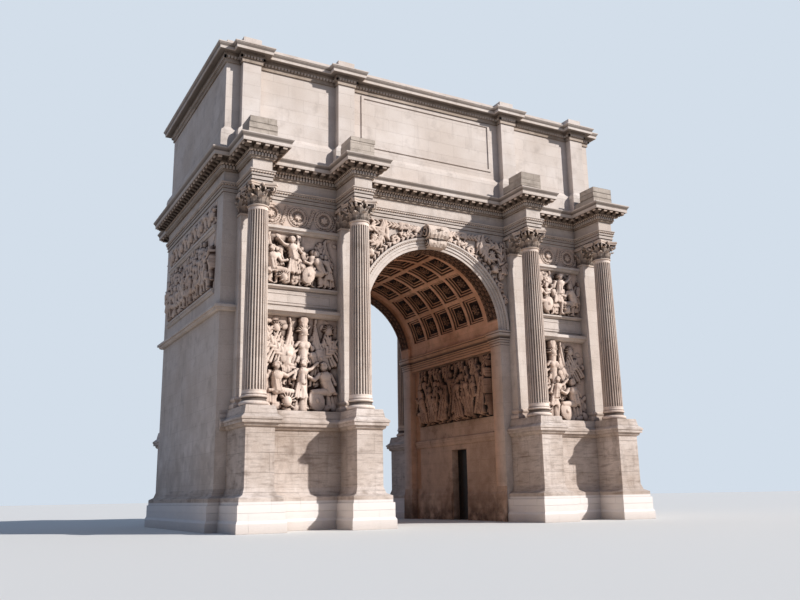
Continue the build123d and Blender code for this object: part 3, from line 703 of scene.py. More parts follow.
def block(low: Point, high: Point) -> tuple[list, list]:
    """A box between two corners, as points and faces."""
    points = [(x, y, z) for z in (low[2], high[2]) for x, y in (
        (low[0], low[1]), (high[0], low[1]), (high[0], high[1]), (low[0], high[1])
    )]
    return points, rings_to_faces(2, 4)


def extruded(side: Sequence[tuple], half_width: float) -> tuple[list, list]:
    """A (out, height, painted shade and sooty dirt) outline given a width along X, with outwards along -Y.

    Args:
        side: the outline, anticlockwise as seen from +X with outwards to the left.
        half_width: half the width along X.

    Returns:
        Points and faces.
    """
    points = [(x, -out, *rest) for x in (-half_width, half_width) for out, *rest in side]
    return points, [list(reversed(face)) for face in rings_to_faces(2, len(side))]


def moved(part: tuple[list, list], matrix: Matrix) -> tuple[list, list]:
    """Points and faces with the points put through a matrix."""
    points = np.array([(*point, 0.0)[:4] for point in part[0]])
    turn = np.array(matrix)
    points[:, :3] = points[:, :3] @ turn[:3, :3].T + turn[:3, 3]
    return points.tolist(), part[1]


def between(first: float, second: float, share: float) -> float:
    """A value part of the way from the first to the second."""
    return first + (second - first) * share


def round_spot(middle: Sequence[float], reach: float, turn: float) -> tuple[float, float]:
    """A spot at a distance from the middle and at an angle from the upright, in radians."""
    return middle[0] + reach * math.sin(turn), middle[1] + reach * math.cos(turn)


def levels(node: str) -> tuple[float, float]:
    """The heights of the foot and the head of a piece of the frame."""
    low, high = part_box(node)
    return low.z, high.z


@dataclass
class Plan:
    """The arch's levels and plan, read from the frame's own pieces."""

    inner_axis: float = 3.923
    outer_axis: float = 7.825
    arch_radius: float = 3.045
    passage_x: float = 3.115
    attic_break: float = 0.322
    wall_overlap: float = 0.2
    wall_y: float = field(init=False)
    half_x: float = field(init=False)
    springing: float = field(init=False)
    architrave: float = field(init=False)
    cornice: float = field(init=False)
    corona: float = field(init=False)
    cornice_top: float = field(init=False)
    break_y: float = field(init=False)
    attic_y: float = field(init=False)
    attic_break_y: float = field(init=False)
    attic_corona: float = field(init=False)
    attic_top: float = field(init=False)

    def __post_init__(self) -> None:
        """Reads the sizes from the frame's boxes."""
        walls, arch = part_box("pier_walls"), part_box("coffered_lining")
        self.wall_y, self.half_x, self.springing = -walls[0].y, walls[1].x, arch[0].z
        self.architrave, self.cornice = levels("architrave")[0], levels("cornice_bed")[0]
        self.corona, self.cornice_top = levels("corona")
        self.break_y = -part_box("frieze")[0].y
        self.attic_break_y = -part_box("attic_pilasters")[0].y
        self.attic_y = self.attic_break_y - self.attic_break
        self.attic_corona, self.attic_top = levels("attic_corona")

    @property
    def axes(self) -> tuple[float, ...]:
        """The column axes along the facade."""
        return -self.outer_axis, -self.inner_axis, self.inner_axis, self.outer_axis

    def outline(self, wall_y: float, break_y: float, half_break: float) -> list[tuple[float, float]]:
        """A course's plan outline, broken forward at each column axis, anticlockwise from above.

        Args:
            wall_y: distance of the long walls from the middle.
            break_y: distance of the breaks' fronts from the middle.
            half_break: half a break's width.

        Returns:
            The corners.
        """
        front = [(-self.half_x, -wall_y)]
        for axis in self.axes:
            front += [(axis - half_break, -wall_y), (axis - half_break, -break_y)]
            front += [(axis + half_break, -break_y), (axis + half_break, -wall_y)]
        front.append((self.half_x, -wall_y))
        return front + [(-x, -y) for x, y in front]

    def break_blocks(
        self, ways: tuple[float, float], half_break: float, heights: tuple[float, float]
    ) -> list[tuple[list, list]]:
        """Blocks that fill a course where it breaks forward over the columns, on both facades.

        Args:
            ways: distance of the long walls and of the breaks' fronts from the middle.
            half_break: half a break's width.
            heights: the blocks' foot and head.

        Returns:
            Points and faces of each block.
        """
        parts = []
        for axis in self.axes:
            for side in (-1, 1):
                near, far = sorted((side * (ways[0] - self.wall_overlap), side * ways[1]))
                parts.append(
                    block((axis - half_break, near, heights[0]), (axis + half_break, far, heights[1]))
                )
        return parts

    def at_axes(self, distance: float, height: float) -> list[tuple[Vector, Point]]:
        """Places on all eight axes, each turned to its own facade.

        Args:
            distance: how far they stand from the middle.
            height: their height.

        Returns:
            A position and a turn for each.
        """
        spots = []
        for side, turn in ((-1, 0.0), (1, math.pi)):
            spots += [(Vector((axis, side * distance, height)), (0.0, 0.0, turn)) for axis in self.axes]
        return spots


@dataclass
class CourseRow:
    """A row of small pieces along every straight run of a course."""

    outline: Sequence[tuple[float, float]]
    spacing: float
    out: float
    height: float
    corner_gain: float = 0.0
    corner_loss: float = 0.0

    def places(self) -> list[tuple[Vector, Point]]:
        """Where the pieces stand and how they turn to face outwards."""
        places = []
        count = len(self.outline)
        for here in range(count):
            corners = (self.outline[(here + step) % count] for step in (-1, 0, 1, 2))
            before, start, end, after = map(Vector, corners)
            along = (end - start).normalized()
            outwards = Vector((along.y, -along.x))
            gains = []
            for turn in ((start - before).cross(end - start), (end - start).cross(after - end)):
                gains.append(self.corner_gain if turn > 0 else -self.corner_loss)
            low, high = -gains[0], (end - start).length + gains[1]
            if high - low < self.spacing * 0.6:
                continue
            steps = max(1, round((high - low) / self.spacing))
            turn = math.atan2(outwards.x, -outwards.y)
            for step in range(steps + 1):
                spot = start + along * (low + (high - low) * step / steps) + outwards * self.out
                places.append((Vector((spot.x, spot.y, self.height)), (0.0, 0.0, turn)))
        return places


@dataclass
class SubAssembly:
    """What every sub-assembly works from: the arch's plan and the workshop that finishes its pieces."""

    plan: Plan
    shop: Workshop


@dataclass
class MainCornice(SubAssembly):
    """The main cornice's overhanging course, its scrolled brackets, teeth and egg moulding."""

    half_break: float = 0.356
    reach: float = 0.6
    face_reach: float = 0.52
    bracket_spacing: float = 0.345
    bracket_half_width: float = 0.078
    tooth_spacing: float = 0.118
    egg_spacing: float = 0.118

    def build(self) -> None:
        """Builds every piece of the cornice."""
        plan = self.plan
        outline = plan.outline(plan.wall_y, plan.break_y, self.half_break)
        self.overhang(outline)
        self.brackets(outline)
        self.teeth(outline)
        self.eggs(outline)

    def overhang(self, outline: Sequence) -> None:
        """The corona and the curved gutter edge over it."""
        foot, head, face = self.plan.corona, self.plan.cornice_top, self.face_reach
        # The third numbers are painted shade: dark under the soffit and the drip; the band on the gutter edge
        # is painted shade with sooty dirt.
        edge = [
            (-0.05, 0.012, 0.7), (-0.05, -0.012, 0.6), (0.0, -0.012), (0.0, 0.11), (0.012, 0.115, 0.6),
            (0.012, 0.142, 0.8), (0.024, 0.165, 0.7), (0.045, 0.19, 0.6), (0.066, 0.222, 0.45),
        ]
        profile = [(-0.06, foot, 0.9), (0.2, foot, 0.9), (0.2, foot + 0.012, 0.9)]
        profile += [(face + out, foot + rise, *shade_and_soot) for out, rise, *shade_and_soot in edge]
        profile += [(self.reach, foot + 0.24, 0.1), (self.reach, head), (-0.06, head)]
        ways = (self.plan.wall_y, self.plan.break_y)
        parts = [swept_ring(profile, outline), *self.plan.break_blocks(ways, self.half_break, (foot, head))]
        self.shop.finish(new_mesh("corona_course", *joined(parts)), Finish.ASHLAR, "corona")

    def brackets(self, outline: Sequence) -> None:
        """Scrolled brackets under the soffit, each with a leaf-like belly."""
        # The third numbers paint shade on each bracket: darkest at the wall and under its belly, none on its
        # front.
        side = [
            (0.0, 0.0, 1), (0.0, -0.125, 1), (0.05, -0.132, 0.8), (0.11, -0.11, 0.8), (0.17, -0.082, 0.8),
            (0.225, -0.078, 0.75), (0.262, -0.1, 0.45), (0.296, -0.104, 0.1), (0.312, -0.07), (0.312, 0.0),
        ]
        cap = [(0.0, 0.0, 1), (0.0, -0.022, 1), (0.27, -0.022, 0.8), (0.322, -0.022), (0.322, 0.0)]
        cap.append((0.27, 0.0, 0.8))
        parts = [extruded(side, self.bracket_half_width), extruded(cap, self.bracket_half_width + 0.014)]
        piece = new_mesh("bracket", *joined(parts))
        row = CourseRow(outline, self.bracket_spacing, 0.166, self.plan.corona + 0.014, 0.3, 0.42)
        self.shop.copy("cornice_brackets", piece, row.places(), Finish.CARVED)

    def teeth(self, outline: Sequence) -> None:
        """The row of square teeth on the bed course."""
        piece = new_mesh("tooth", *block((-0.034, -0.07, 0), (0.034, 0.01, 0.105)))
        row = CourseRow(outline, self.tooth_spacing, 0.07, self.plan.cornice + 0.085, 0.045, 0.1)
        self.shop.copy("cornice_teeth", piece, row.places(), Finish.ASHLAR)

    def eggs(self, outline: Sequence) -> None:
        """The egg moulding between the teeth and the brackets."""
        profile = [(0.004, 0.0), (0.03, 0.02), (0.042, 0.06), (0.03, 0.1), (0.004, 0.115)]
        piece = new_mesh("egg", *turned_solid(profile, 8), smooth=50)
        row = CourseRow(outline, self.egg_spacing, 0.115, self.plan.cornice + 0.2, 0.09, 0.14)
        lean = [(spot, (0.42, 0.0, turn[2])) for spot, turn in row.places()]
        self.shop.copy("cornice_eggs", piece, lean, Finish.CARVED)


@dataclass
class Architrave(SubAssembly):
    """The architrave's three faces with a small moulding over each, and the bead row under its crown."""

    half_break: float = 0.356
    spacing: float = 0.1

    def build(self) -> None:
        """Builds the course and the row."""
        plan = self.plan
        outline = plan.outline(plan.wall_y, plan.break_y, self.half_break)
        profile = [(-0.06, 0.0)]
        # The third numbers paint a shadow line under each small moulding and a little shade at the foot of
        # each face.
        for out, foot, head in ((0.0, 0.0, 0.115), (0.024, 0.15, 0.26), (0.046, 0.3, 0.376)):
            profile += [(out, foot, 0.15), (out, head - 0.025, 0.05), (out, head, 0.95)]
            profile += [(out + 0.044, head + 0.01), (out + 0.044, head + 0.03)]
        profile[-1] = (0.078, 0.416)
        profile += [(0.078, 0.43, 0.4), (0.1, 0.455), (0.112, 0.462), (0.112, 0.49), (-0.06, 0.49)]
        profile = [(out, plan.architrave + height, *shade_and_soot) for out, height, *shade_and_soot in profile]
        self.shop.finish(
            new_mesh("architrave_course", *swept_ring(profile, outline)), Finish.ASHLAR, "architrave"
        )
        row = CourseRow(outline, self.spacing, 0.064, plan.architrave + 0.396, 0.05, 0.05)
        profile = [(0.006, -0.024), (0.022, -0.014), (0.027, 0.0), (0.022, 0.014), (0.006, 0.024)]
        lay = Matrix.Rotation(math.pi / 2, 4, "Y") @ Matrix.Scale(1.6, 4)
        bead = new_mesh("bead", *moved(turned_solid(profile, 6), lay))
        self.shop.copy("architrave_beads", bead, row.places(), Finish.CARVED)


@dataclass
class AtticCornice(SubAssembly):
    """The attic's overhanging course and its row of teeth."""

    half_break: float = 0.352
    reach: float = 0.435
    face_reach: float = 0.36
    tooth_spacing: float = 0.132

    def build(self) -> None:
        """Builds the course and its teeth."""
        plan = self.plan
        outline = plan.outline(plan.attic_y, plan.attic_break_y, self.half_break)
        foot, head, face = plan.attic_corona, plan.attic_top, self.face_reach
        # The third numbers are painted shade: dark under the soffit and the drip; the band on the gutter edge
        # is painted shade with sooty dirt.
        edge = [
            (-0.04, 0.0, 0.7), (-0.04, -0.012, 0.5), (0.0, -0.012), (0.0, 0.09), (0.01, 0.094, 0.7),
            (0.01, 0.116, 0.8), (0.024, 0.14, 0.5), (0.045, 0.165, 0.4), (0.06, 0.195, 0.3),
        ]
        profile = [(-0.06, foot, 0.9)] + [(face + out, foot + rise, *shade_and_soot) for out, rise, *shade_and_soot in edge]
        profile += [(self.reach, foot + 0.206), (self.reach, head), (-0.06, head)]
        ways = (plan.attic_y, plan.attic_break_y)
        parts = [swept_ring(profile, outline), *plan.break_blocks(ways, self.half_break, (foot, head))]
        self.shop.finish(new_mesh("attic_corona_course", *joined(parts)), Finish.ASHLAR, "attic_corona")
        tooth = new_mesh("attic_tooth", *block((-0.04, -0.08, 0), (0.04, 0.01, 0.13)))
        row = CourseRow(outline, self.tooth_spacing, 0.04, plan.attic_corona - 0.205, 0.08, 0.12)
        self.shop.copy("attic_teeth", tooth, row.places(), Finish.ASHLAR)


def spiral_ribbon(
    centre: tuple[float, float], start: float, turns: float, width: float, thick: float
) -> tuple[list, list]:
    """A scroll: a ribbon rolled into a spiral that stands proud of its own middle.

    Args:
        centre: (out, height) of the scroll's eye.
        start: the outer radius.
        turns: how many turns it makes.
        width: the ribbon's width along X.
        thick: the ribbon's thickness at its start.

    Returns:
        Points and faces of a closed ribbon in the plane of out and height.
    """
    steps = int(turns * 12)
    rings = []
    for step in range(steps + 1):
        share = step / steps
        turn = math.radians(80) - 2 * math.pi * turns * share
        radius = start * (1 - share) ** 0.9 + 0.12 * start
        half, wide = thick * (1 - 0.5 * share) / 2, width / 2 * (1 + 0.25 * share)
        ring = []
        for way, r in ((-1, radius - half), (1, radius - half), (1, radius + half), (-1, radius + half)):
            ring.append((way * wide, -(centre[0] + r * math.cos(turn)), centre[1] + r * math.sin(turn)))
        rings.append(ring)
    points = [point for ring in rings for point in ring]
    return points, [list(reversed(face)) for face in rings_to_faces(len(rings), 4)]


@dataclass
class AcanthusLeaf:
    """One acanthus leaf that stands up from its foot and curls out at its tip."""

    height: float
    width: float
    curl: float
    lobes: int = 4
    rows: int = 13
    columns: int = 9
    thick: float = 0.016

    def spine(self, share: float) -> tuple[float, float]:
        """How far out and up the leaf's middle is, at a share of its length."""
        curve = [(0.0, 0.0), (0.0, 0.36), (0.05, 0.70), (0.42, 0.98), (0.86, 1.0), (1.0, 0.84)]
        count = len(curve) - 1
        out = height = 0.0
        for index, (x, z) in enumerate(curve):
            weight = math.comb(count, index) * share**index * (1 - share) ** (count - index)
            out, height = out + weight * x, height + weight * z
        return out * self.curl * 1.15, height * self.height

    def build(self) -> tuple[list, list]:
        """The leaf's points and faces, with its foot at the origin and its face towards -Y."""
        front, back = [], []
        for row in range(self.rows):
            share = row / (self.rows - 1)
            out, height = self.spine(share)
            lobe = abs(math.cos(math.pi * self.lobes * share)) ** 0.7
            half = self.width / 2 * (0.72 + 0.5 * math.sin(math.pi * min(1.0, share * 1.15)))
            half *= 0.66 + 0.34 * lobe
            half *= max(0.12, 1 - share**5)
            for column in range(self.columns):
                side = 2 * column / (self.columns - 1) - 1
                rib = 0.35 * math.cos(3 * math.pi * side) * (1 - abs(side))
                rib += 0.5 * math.exp(-((side * 5) ** 2))
                lean = out - self.curl * 0.32 * side * side * (0.3 + share) + self.thick * rib
                droop = height - 0.12 * self.height * side * side * share
                # Painted shade: dark towards the leaf's foot and in the notches between its lobes, and dark
                # on its back.
                shade_and_soot = max(0.0, 0.95 - 1.35 * share) * (0.75 + 0.5 * (1 - lobe)) + 0.1 * abs(side)
                front.append((half * side, -lean - self.thick / 2, droop, min(1.0, shade_and_soot)))
                back.append((half * side, -lean + self.thick / 2, droop, 0.9))
        count = self.columns
        total = self.rows * count
        faces = []
        for row in range(self.rows - 1):
            for column in range(count - 1):
                a, b = row * count + column, row * count + column + 1
                faces.append([a, b, b + count, a + count])
                faces.append([total + a + count, total + b + count, total + b, total + a])
        rim = list(range(count)) + [row * count + count - 1 for row in range(1, self.rows)]
        rim += [total - 1 - column for column in range(1, count)]
        rim += [row * count for row in range(self.rows - 2, 0, -1)]
        for here, after in zip(rim, rim[1:] + rim[:1]):
            faces.append([after, here, here + total, after + total])
        return front + back, faces


@dataclass
class Columns(SubAssembly):
    """The free-standing columns: turned bases, fluted shafts and leafy capitals."""

    axis_y: float = 5.452
    foot_radius: float = 0.405
    head_radius: float = 0.345
    flutes: int = 24
    flute_share: float = 0.74
    flute_depth: float = 0.046
    swell: float = 0.012
    facets_per_flute: int = 6
    lower_leaf: AcanthusLeaf = field(default_factory=lambda: AcanthusLeaf(0.34, 0.25, 0.165))
    upper_leaf: AcanthusLeaf = field(default_factory=lambda: AcanthusLeaf(0.57, 0.25, 0.2))

    def __post_init__(self) -> None:
        """Reads the heights from the frame."""
        self.base_foot = levels("column_bases")[0]
        self.shaft_foot, self.shaft_head = levels("column_shafts")
        self.head = levels("column_capitals")[1]

    def build(self) -> None:
        """Builds the three parts of the columns."""
        feet = self.plan.at_axes(self.axis_y, self.base_foot)
        shafts = self.plan.at_axes(self.axis_y, self.shaft_foot)
        heads = self.plan.at_axes(self.axis_y, self.shaft_head)
        self.shop.copy("turned_column_bases", self.base(), feet, Finish.COLUMN, "column_bases")
        self.shop.copy("fluted_shafts", self.shaft(), shafts, Finish.COLUMN, "column_shafts")
        self.shop.copy("leafy_capitals", self.capital(), heads, Finish.CARVED, "column_capitals")

    def base(self) -> bpy.types.Object:
        """Two round mouldings with a deep hollow between them."""
        lower, upper = np.linspace(-1.4, 1.45, 9), np.linspace(-1.2, 1.4, 7)
        profile = [(0.46, 0.0)]
        profile += [(0.405 + 0.095 * math.cos(turn), 0.09 + 0.09 * math.sin(turn)) for turn in lower]
        profile += [(0.42, 0.19), (0.42, 0.2), (0.405, 0.225), (0.4, 0.25), (0.412, 0.275), (0.43, 0.28)]
        profile += [(0.385 + 0.062 * math.cos(turn), 0.335 + 0.05 * math.sin(turn)) for turn in upper]
        profile += [(0.418, 0.395), (self.foot_radius, 0.42)]
        # Painted shade in the deep hollow between the two round mouldings.
        profile = [(out, height, 0.85 if 0.19 <= height <= 0.28 else 0.0) for out, height in profile]
        return new_mesh("base", *turned_solid(profile, 48), smooth=50)

    def shaft(self) -> bpy.types.Object:
        """A fluted shaft with a slight swell, its flutes rounded off at both ends."""
        length = self.shaft_head - self.shaft_foot
        flute_half = math.pi * self.foot_radius / self.flutes * self.flute_share
        start, end = 0.12, length - 0.11
        heights = {0.0, 0.05, 0.09, length - 0.06, length}
        for share in (0, 0.15, 0.35, 0.6, 0.85, 1):
            heights |= {start + flute_half * share, end - flute_half * share}
        heights |= {start + (end - start) * step / 7 for step in range(1, 7)}
        points = []
        for height in sorted(heights):
            share = height / length
            radius = between(self.foot_radius, self.head_radius, share)
            radius += self.swell * math.sin(math.pi * share) + 0.016 * max(0.0, 1 - height / 0.05)
            reach = min(height - start, end - height)
            cut = 0.0 if reach <= 0 else math.sqrt(max(0.0, 1 - (1 - min(1.0, reach / flute_half)) ** 2))
            for step in range(self.flutes * self.facets_per_flute):
                flute, part = divmod(step, self.facets_per_flute)
                across = -1 + 2 * part / (self.facets_per_flute - 1)
                turn = 2 * math.pi / self.flutes * (flute + across * self.flute_share / 2)
                sunk = self.flute_depth * cut * math.sqrt(max(0.0, 1 - across * across))
                # Painted shade at the back of each flute, strongest where the flute is deepest.
                shade_and_soot = 0.9 * (sunk / self.flute_depth) ** 5
                left = radius - sunk
                points.append((left * math.cos(turn), left * math.sin(turn), height, shade_and_soot))
        return new_mesh("shaft", points, rings_to_faces(len(heights), self.flutes * self.facets_per_flute))

    def capital(self) -> bpy.types.Object:
        """A bell with two rows of leaves, corner scrolls and a hollow-sided plate."""
        tall = self.head - self.shaft_head
        # The third numbers are painted shade: dark on the bell behind the leaves and on the inner parts of
        # the stalks.
        profile = [
            (0.35, 0.0), (0.375, 0.012), (0.385, 0.035), (0.375, 0.058), (0.35, 0.07, 0.9), (0.345, 0.09, 1),
            (0.335, 0.3, 1), (0.345, 0.5, 1), (0.375, 0.62, 1), (0.43, tall - 0.13, 0.9),
        ]
        profile = [(*row, 0.0)[:3] for row in profile]
        parts = [turned_solid(profile, 32), self.plate(tall - 0.13, tall)]
        for row, leaf in enumerate((self.lower_leaf, self.upper_leaf)):
            shape = leaf.build()
            for step in range(8):
                turn = Matrix.Rotation(math.pi / 4 * (step + row / 2), 4, "Z")
                parts.append(moved(shape, turn @ Matrix.Translation((0, -0.335 - 0.018 * (1 - row), 0.07))))
        scroll = spiral_ribbon((0.545, tall - 0.215), 0.085, 1.5, 0.055, 0.032)
        stalk = [(0.35, 0.42, 0.9), (0.38, 0.41, 0.9), (0.47, 0.56, 0.5), (0.56, 0.66), (0.545, 0.69)]
        stalk = extruded([*stalk, (0.43, 0.6, 0.8)], 0.026)
        small = spiral_ribbon((0.4, tall - 0.2), 0.06, 1.25, 0.045, 0.022)
        for corner in range(4):
            for lean in (-7, 7):
                turn = Matrix.Rotation(math.radians(45 + 90 * corner + lean), 4, "Z")
                parts += [moved(scroll, turn), moved(stalk, turn)]
                turn = Matrix.Rotation(math.radians(90 * corner + lean * 1.7), 4, "Z")
                parts.append(moved(small, turn))
            petals = [(0.01, -0.045), (0.05, -0.03), (0.062, 0.0), (0.05, 0.03), (0.01, 0.045)]
            flower = moved(turned_solid(petals, 10), Matrix.Rotation(math.pi / 2, 4, "X"))
            turn = Matrix.Rotation(math.radians(90 * corner), 4, "Z")
            parts.append(moved(flower, turn @ Matrix.Translation((0, -0.475, tall - 0.065))))
        return new_mesh("capital", *joined(parts), smooth=50)

    def plate(self, foot: float, head: float) -> tuple[list, list]:
        """The square plate with hollow sides, cut corners and a moulded edge."""
        points = []
        edges = ((foot, 0.93), (foot + 0.07, 0.95), (foot + 0.075, 0.99), (head, 1.0))
        for height, size in edges:
            for quarter in range(4):
                for share in np.linspace(-0.84, 0.84, 9):
                    out = 0.545 - 0.1 * (1 - (share / 0.84) ** 2)
                    x, y = 0.545 * share * size, -out * size
                    for _ in range(quarter):
                        x, y = -y, x
                    points.append((x, y, height))
        return points, rings_to_faces(len(edges), 36)


@dataclass
class PilasterHeads(SubAssembly):
    """Leafy heads and moulded feet on the pilasters behind the columns."""

    half_width: float = 0.36
    forward: float = 0.42
    head_height: float = 0.82
    leaf: AcanthusLeaf = field(default_factory=lambda: AcanthusLeaf(0.33, 0.22, 0.1))
    tall_leaf: AcanthusLeaf = field(default_factory=lambda: AcanthusLeaf(0.55, 0.22, 0.12))

    def build(self) -> None:
        """Builds the heads and the feet."""
        distance = self.plan.wall_y + self.forward
        heads = self.plan.at_axes(distance, self.plan.architrave - self.head_height)
        self.shop.copy("pilaster_heads", self.head(), heads, Finish.CARVED)
        feet = self.plan.at_axes(distance, levels("column_bases")[0])
        self.shop.copy("pilaster_feet", self.foot(), feet, Finish.COLUMN)

    def head(self) -> bpy.types.Object:
        """Leaves on the front and on both sides, corner scrolls and a plate."""
        wide, deep, tall = self.half_width, self.forward, self.head_height
        parts = [
            block((-wide - 0.03, -0.03, 0.0), (wide + 0.03, deep - 0.02, 0.06)),
            block((-wide - 0.1, -0.1, tall - 0.12), (wide + 0.1, deep - 0.01, tall - 0.002)),
        ]
        low, high = self.leaf.build(), self.tall_leaf.build()
        for x in (-0.24, 0.0, 0.24):
            parts.append(moved(low, Matrix.Translation((x, -0.012, 0.06))))
        for x in (-0.36, -0.12, 0.12, 0.36):
            parts.append(moved(high, Matrix.Translation((x * 0.94, -0.004, 0.06))))
        scroll = spiral_ribbon((0.08, tall - 0.2), 0.08, 1.5, 0.05, 0.03)
        for side in (-1, 1):
            turn = Matrix.Rotation(math.radians(45 * side), 4, "Z")
            parts.append(moved(scroll, Matrix.Translation((side * wide, 0, 0)) @ turn))
            turn = Matrix.Rotation(math.radians(90 * side), 4, "Z")
            face = Matrix.Translation((side * wide, 0.2, 0)) @ turn
            parts.append(moved(low, face @ Matrix.Translation((0, -0.012, 0.06))))
            parts.append(moved(high, face @ Matrix.Translation((side * 0.11, -0.004, 0.06))))
        return new_mesh("pilaster_head", *joined(parts), smooth=50)

    def foot(self) -> bpy.types.Object:
        """A moulded foot that follows the columns' bases."""
        profile = [
            (-0.02, 0.0), (0.08, 0.0), (0.1, 0.05), (0.1, 0.13), (0.08, 0.18), (0.03, 0.2), (0.025, 0.26),
            (0.05, 0.29), (0.06, 0.34), (0.045, 0.385), (0.012, 0.42), (-0.02, 0.42),
        ]
        wide, deep = self.half_width, self.forward
        path = [(-wide, deep - 0.02), (-wide, 0.0), (wide, 0.0), (wide, deep - 0.02)]
        return new_mesh("pilaster_foot", *swept_ring(profile, path))


@dataclass
class StatueBases(SubAssembly):
    """The blocks over the columns that stand empty, their courses eaten back by the weather."""

    half_width: float = 0.535
    depth: float = 0.9
    full_depth_height: float = 0.62
    top_course: float = 0.16
    gap: float = 0.008
    courses: tuple = (4, 2, 3, 4)
    erosion: float = 0.05

    def build(self) -> None:
        """Builds the eight blocks, each of a few worn courses over a core with painted shade, which shows in
        the gaps.
        """
        low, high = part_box("statue_bases")
        chance, parts = np.random.default_rng(5), []
        for side in (-1, 1):
            for axis, count in zip(self.plan.axes, self.courses[::-side]):
                beds = np.linspace(low.z, high.z, count + 1)
                if count == 2:
                    beds[1] = high.z - self.top_course
                for foot, head in zip(beds, beds[1:]):
                    worn = chance.uniform(0, self.erosion, 3)
                    over = head > low.z + self.full_depth_height
                    back = self.depth - high.y if over else -self.plan.attic_break_y - 0.18
                    left, right = axis - self.half_width + worn[0], axis + self.half_width - worn[1]
                    face = (left, -high.y + worn[2] * 0.6, foot + self.gap)
                    core = block((left + 0.02, -high.y + 0.04, foot), (right - 0.02, back, head))
                    # The core carries painted shade, which shows as dark lines in the gaps between the
                    # courses.
                    core = ([(*point, 0.45) for point in core[0]], core[1])
                    for part in (block(face, (right, back, head - self.gap)), core):
                        parts.append(moved(part, Matrix.Scale(-side, 4, (0, 1, 0))))
        self.shop.finish(new_mesh("weathered_statue_bases", *joined(parts)), Finish.MOSSY, "statue_bases")


@dataclass
class TabletFrames(SubAssembly):
    """The thin raised frames on the plain tablets between the carved panels."""

    tablet: tuple[float, float] = (4.283, 7.465)
    tablet_height: float = 0.65
    sill: float = 0.13
    inset: float = 0.26
    margin: float = 0.09
    bar: float = 0.035
    out: float = 0.022

    def build(self) -> None:
        """Builds the frames of all four tablets."""
        course = levels("string_courses")[1]
        foot, head = course + self.sill + self.margin, course + self.tablet_height - self.margin
        face = self.plan.wall_y + 0.04
        parts = []
        for axis in (-1, 1):
            first, last = sorted(axis * x for x in (self.tablet[0] + self.inset, self.tablet[1] - self.inset))
            bars = [(first, foot, last, foot + self.bar), (first, head - self.bar, last, head)]
            for left in (first, last - self.bar):
                bars.append((left, foot + self.bar, left + self.bar, head - self.bar))
            for left, low, right, high in bars:
                for side in (-1, 1):
                    near, far = sorted((side * (face - 0.02), side * (face + self.out)))
                    parts.append(block((left, near, low), (right, far, high)))
        self.shop.finish(new_mesh("tablet_frames", *joined(parts)), Finish.ASHLAR)


@dataclass
class ArchBand(SubAssembly):
    """The moulded band round each arch face, with a row of beads inside its edge."""

    width: float = 0.455
    out: float = 0.15
    steps: int = 90
    bead_inset: float = 0.336
    bead_radius: float = 0.028
    bead_spacing: float = 0.098

    def build(self) -> None:
        """Builds both bands and their beads."""
        inner = self.plan.arch_radius
        profile = [
            (0.0, -0.02), (0.0, 0.03), (0.11, 0.032), (0.112, 0.022), (0.12, 0.022), (0.122, 0.068),
            (0.222, 0.07), (0.224, 0.058), (0.234, 0.058), (0.236, 0.104), (0.31, 0.106), (0.314, 0.088),
            (0.356, 0.088), (0.36, 0.12), (0.385, 0.14), (0.395, self.out), (self.width, self.out),
            (self.width, -0.02),
        ]
        profile = [(inner + across, out) for across, out in profile]
        parts, places = [], []
        for side in (-1, 1):
            face = side * self.plan.wall_y
            points = []
            for step in range(self.steps + 1):
                turn = math.pi * step / self.steps
                for radius, out in profile:
                    points.append((radius * math.cos(turn), face + side * out, self.rise(radius, turn)))
            parts.append((points, rings_to_faces(self.steps + 1, len(profile))))
            radius = inner + self.bead_inset
            count = round(math.pi * radius / self.bead_spacing)
            for step in range(count):
                turn = math.pi * (step + 0.5) / count
                spot = Vector((radius * math.cos(turn), face + side * 0.11, self.rise(radius, turn)))
                places.append((spot, (0.0, math.pi / 2 - turn, 0.0)))
        band = new_mesh("arch_bands", *joined(parts), smooth=30)
        self.shop.finish(band, Finish.ASHLAR, "archivolts")
        profile = [(0.004, -0.04), (0.02, -0.03), (self.bead_radius, 0.0), (0.02, 0.03), (0.004, 0.04)]
        bead = moved(turned_solid(profile, 7), Matrix.Rotation(math.pi / 2, 4, "Y"))
        self.shop.copy("arch_band_beads", new_mesh("bead", *bead, smooth=60), places, Finish.CARVED)

    def rise(self, radius: float, turn: float) -> float:
        """The height of a point on the arch."""
        return self.plan.springing + radius * math.sin(turn)


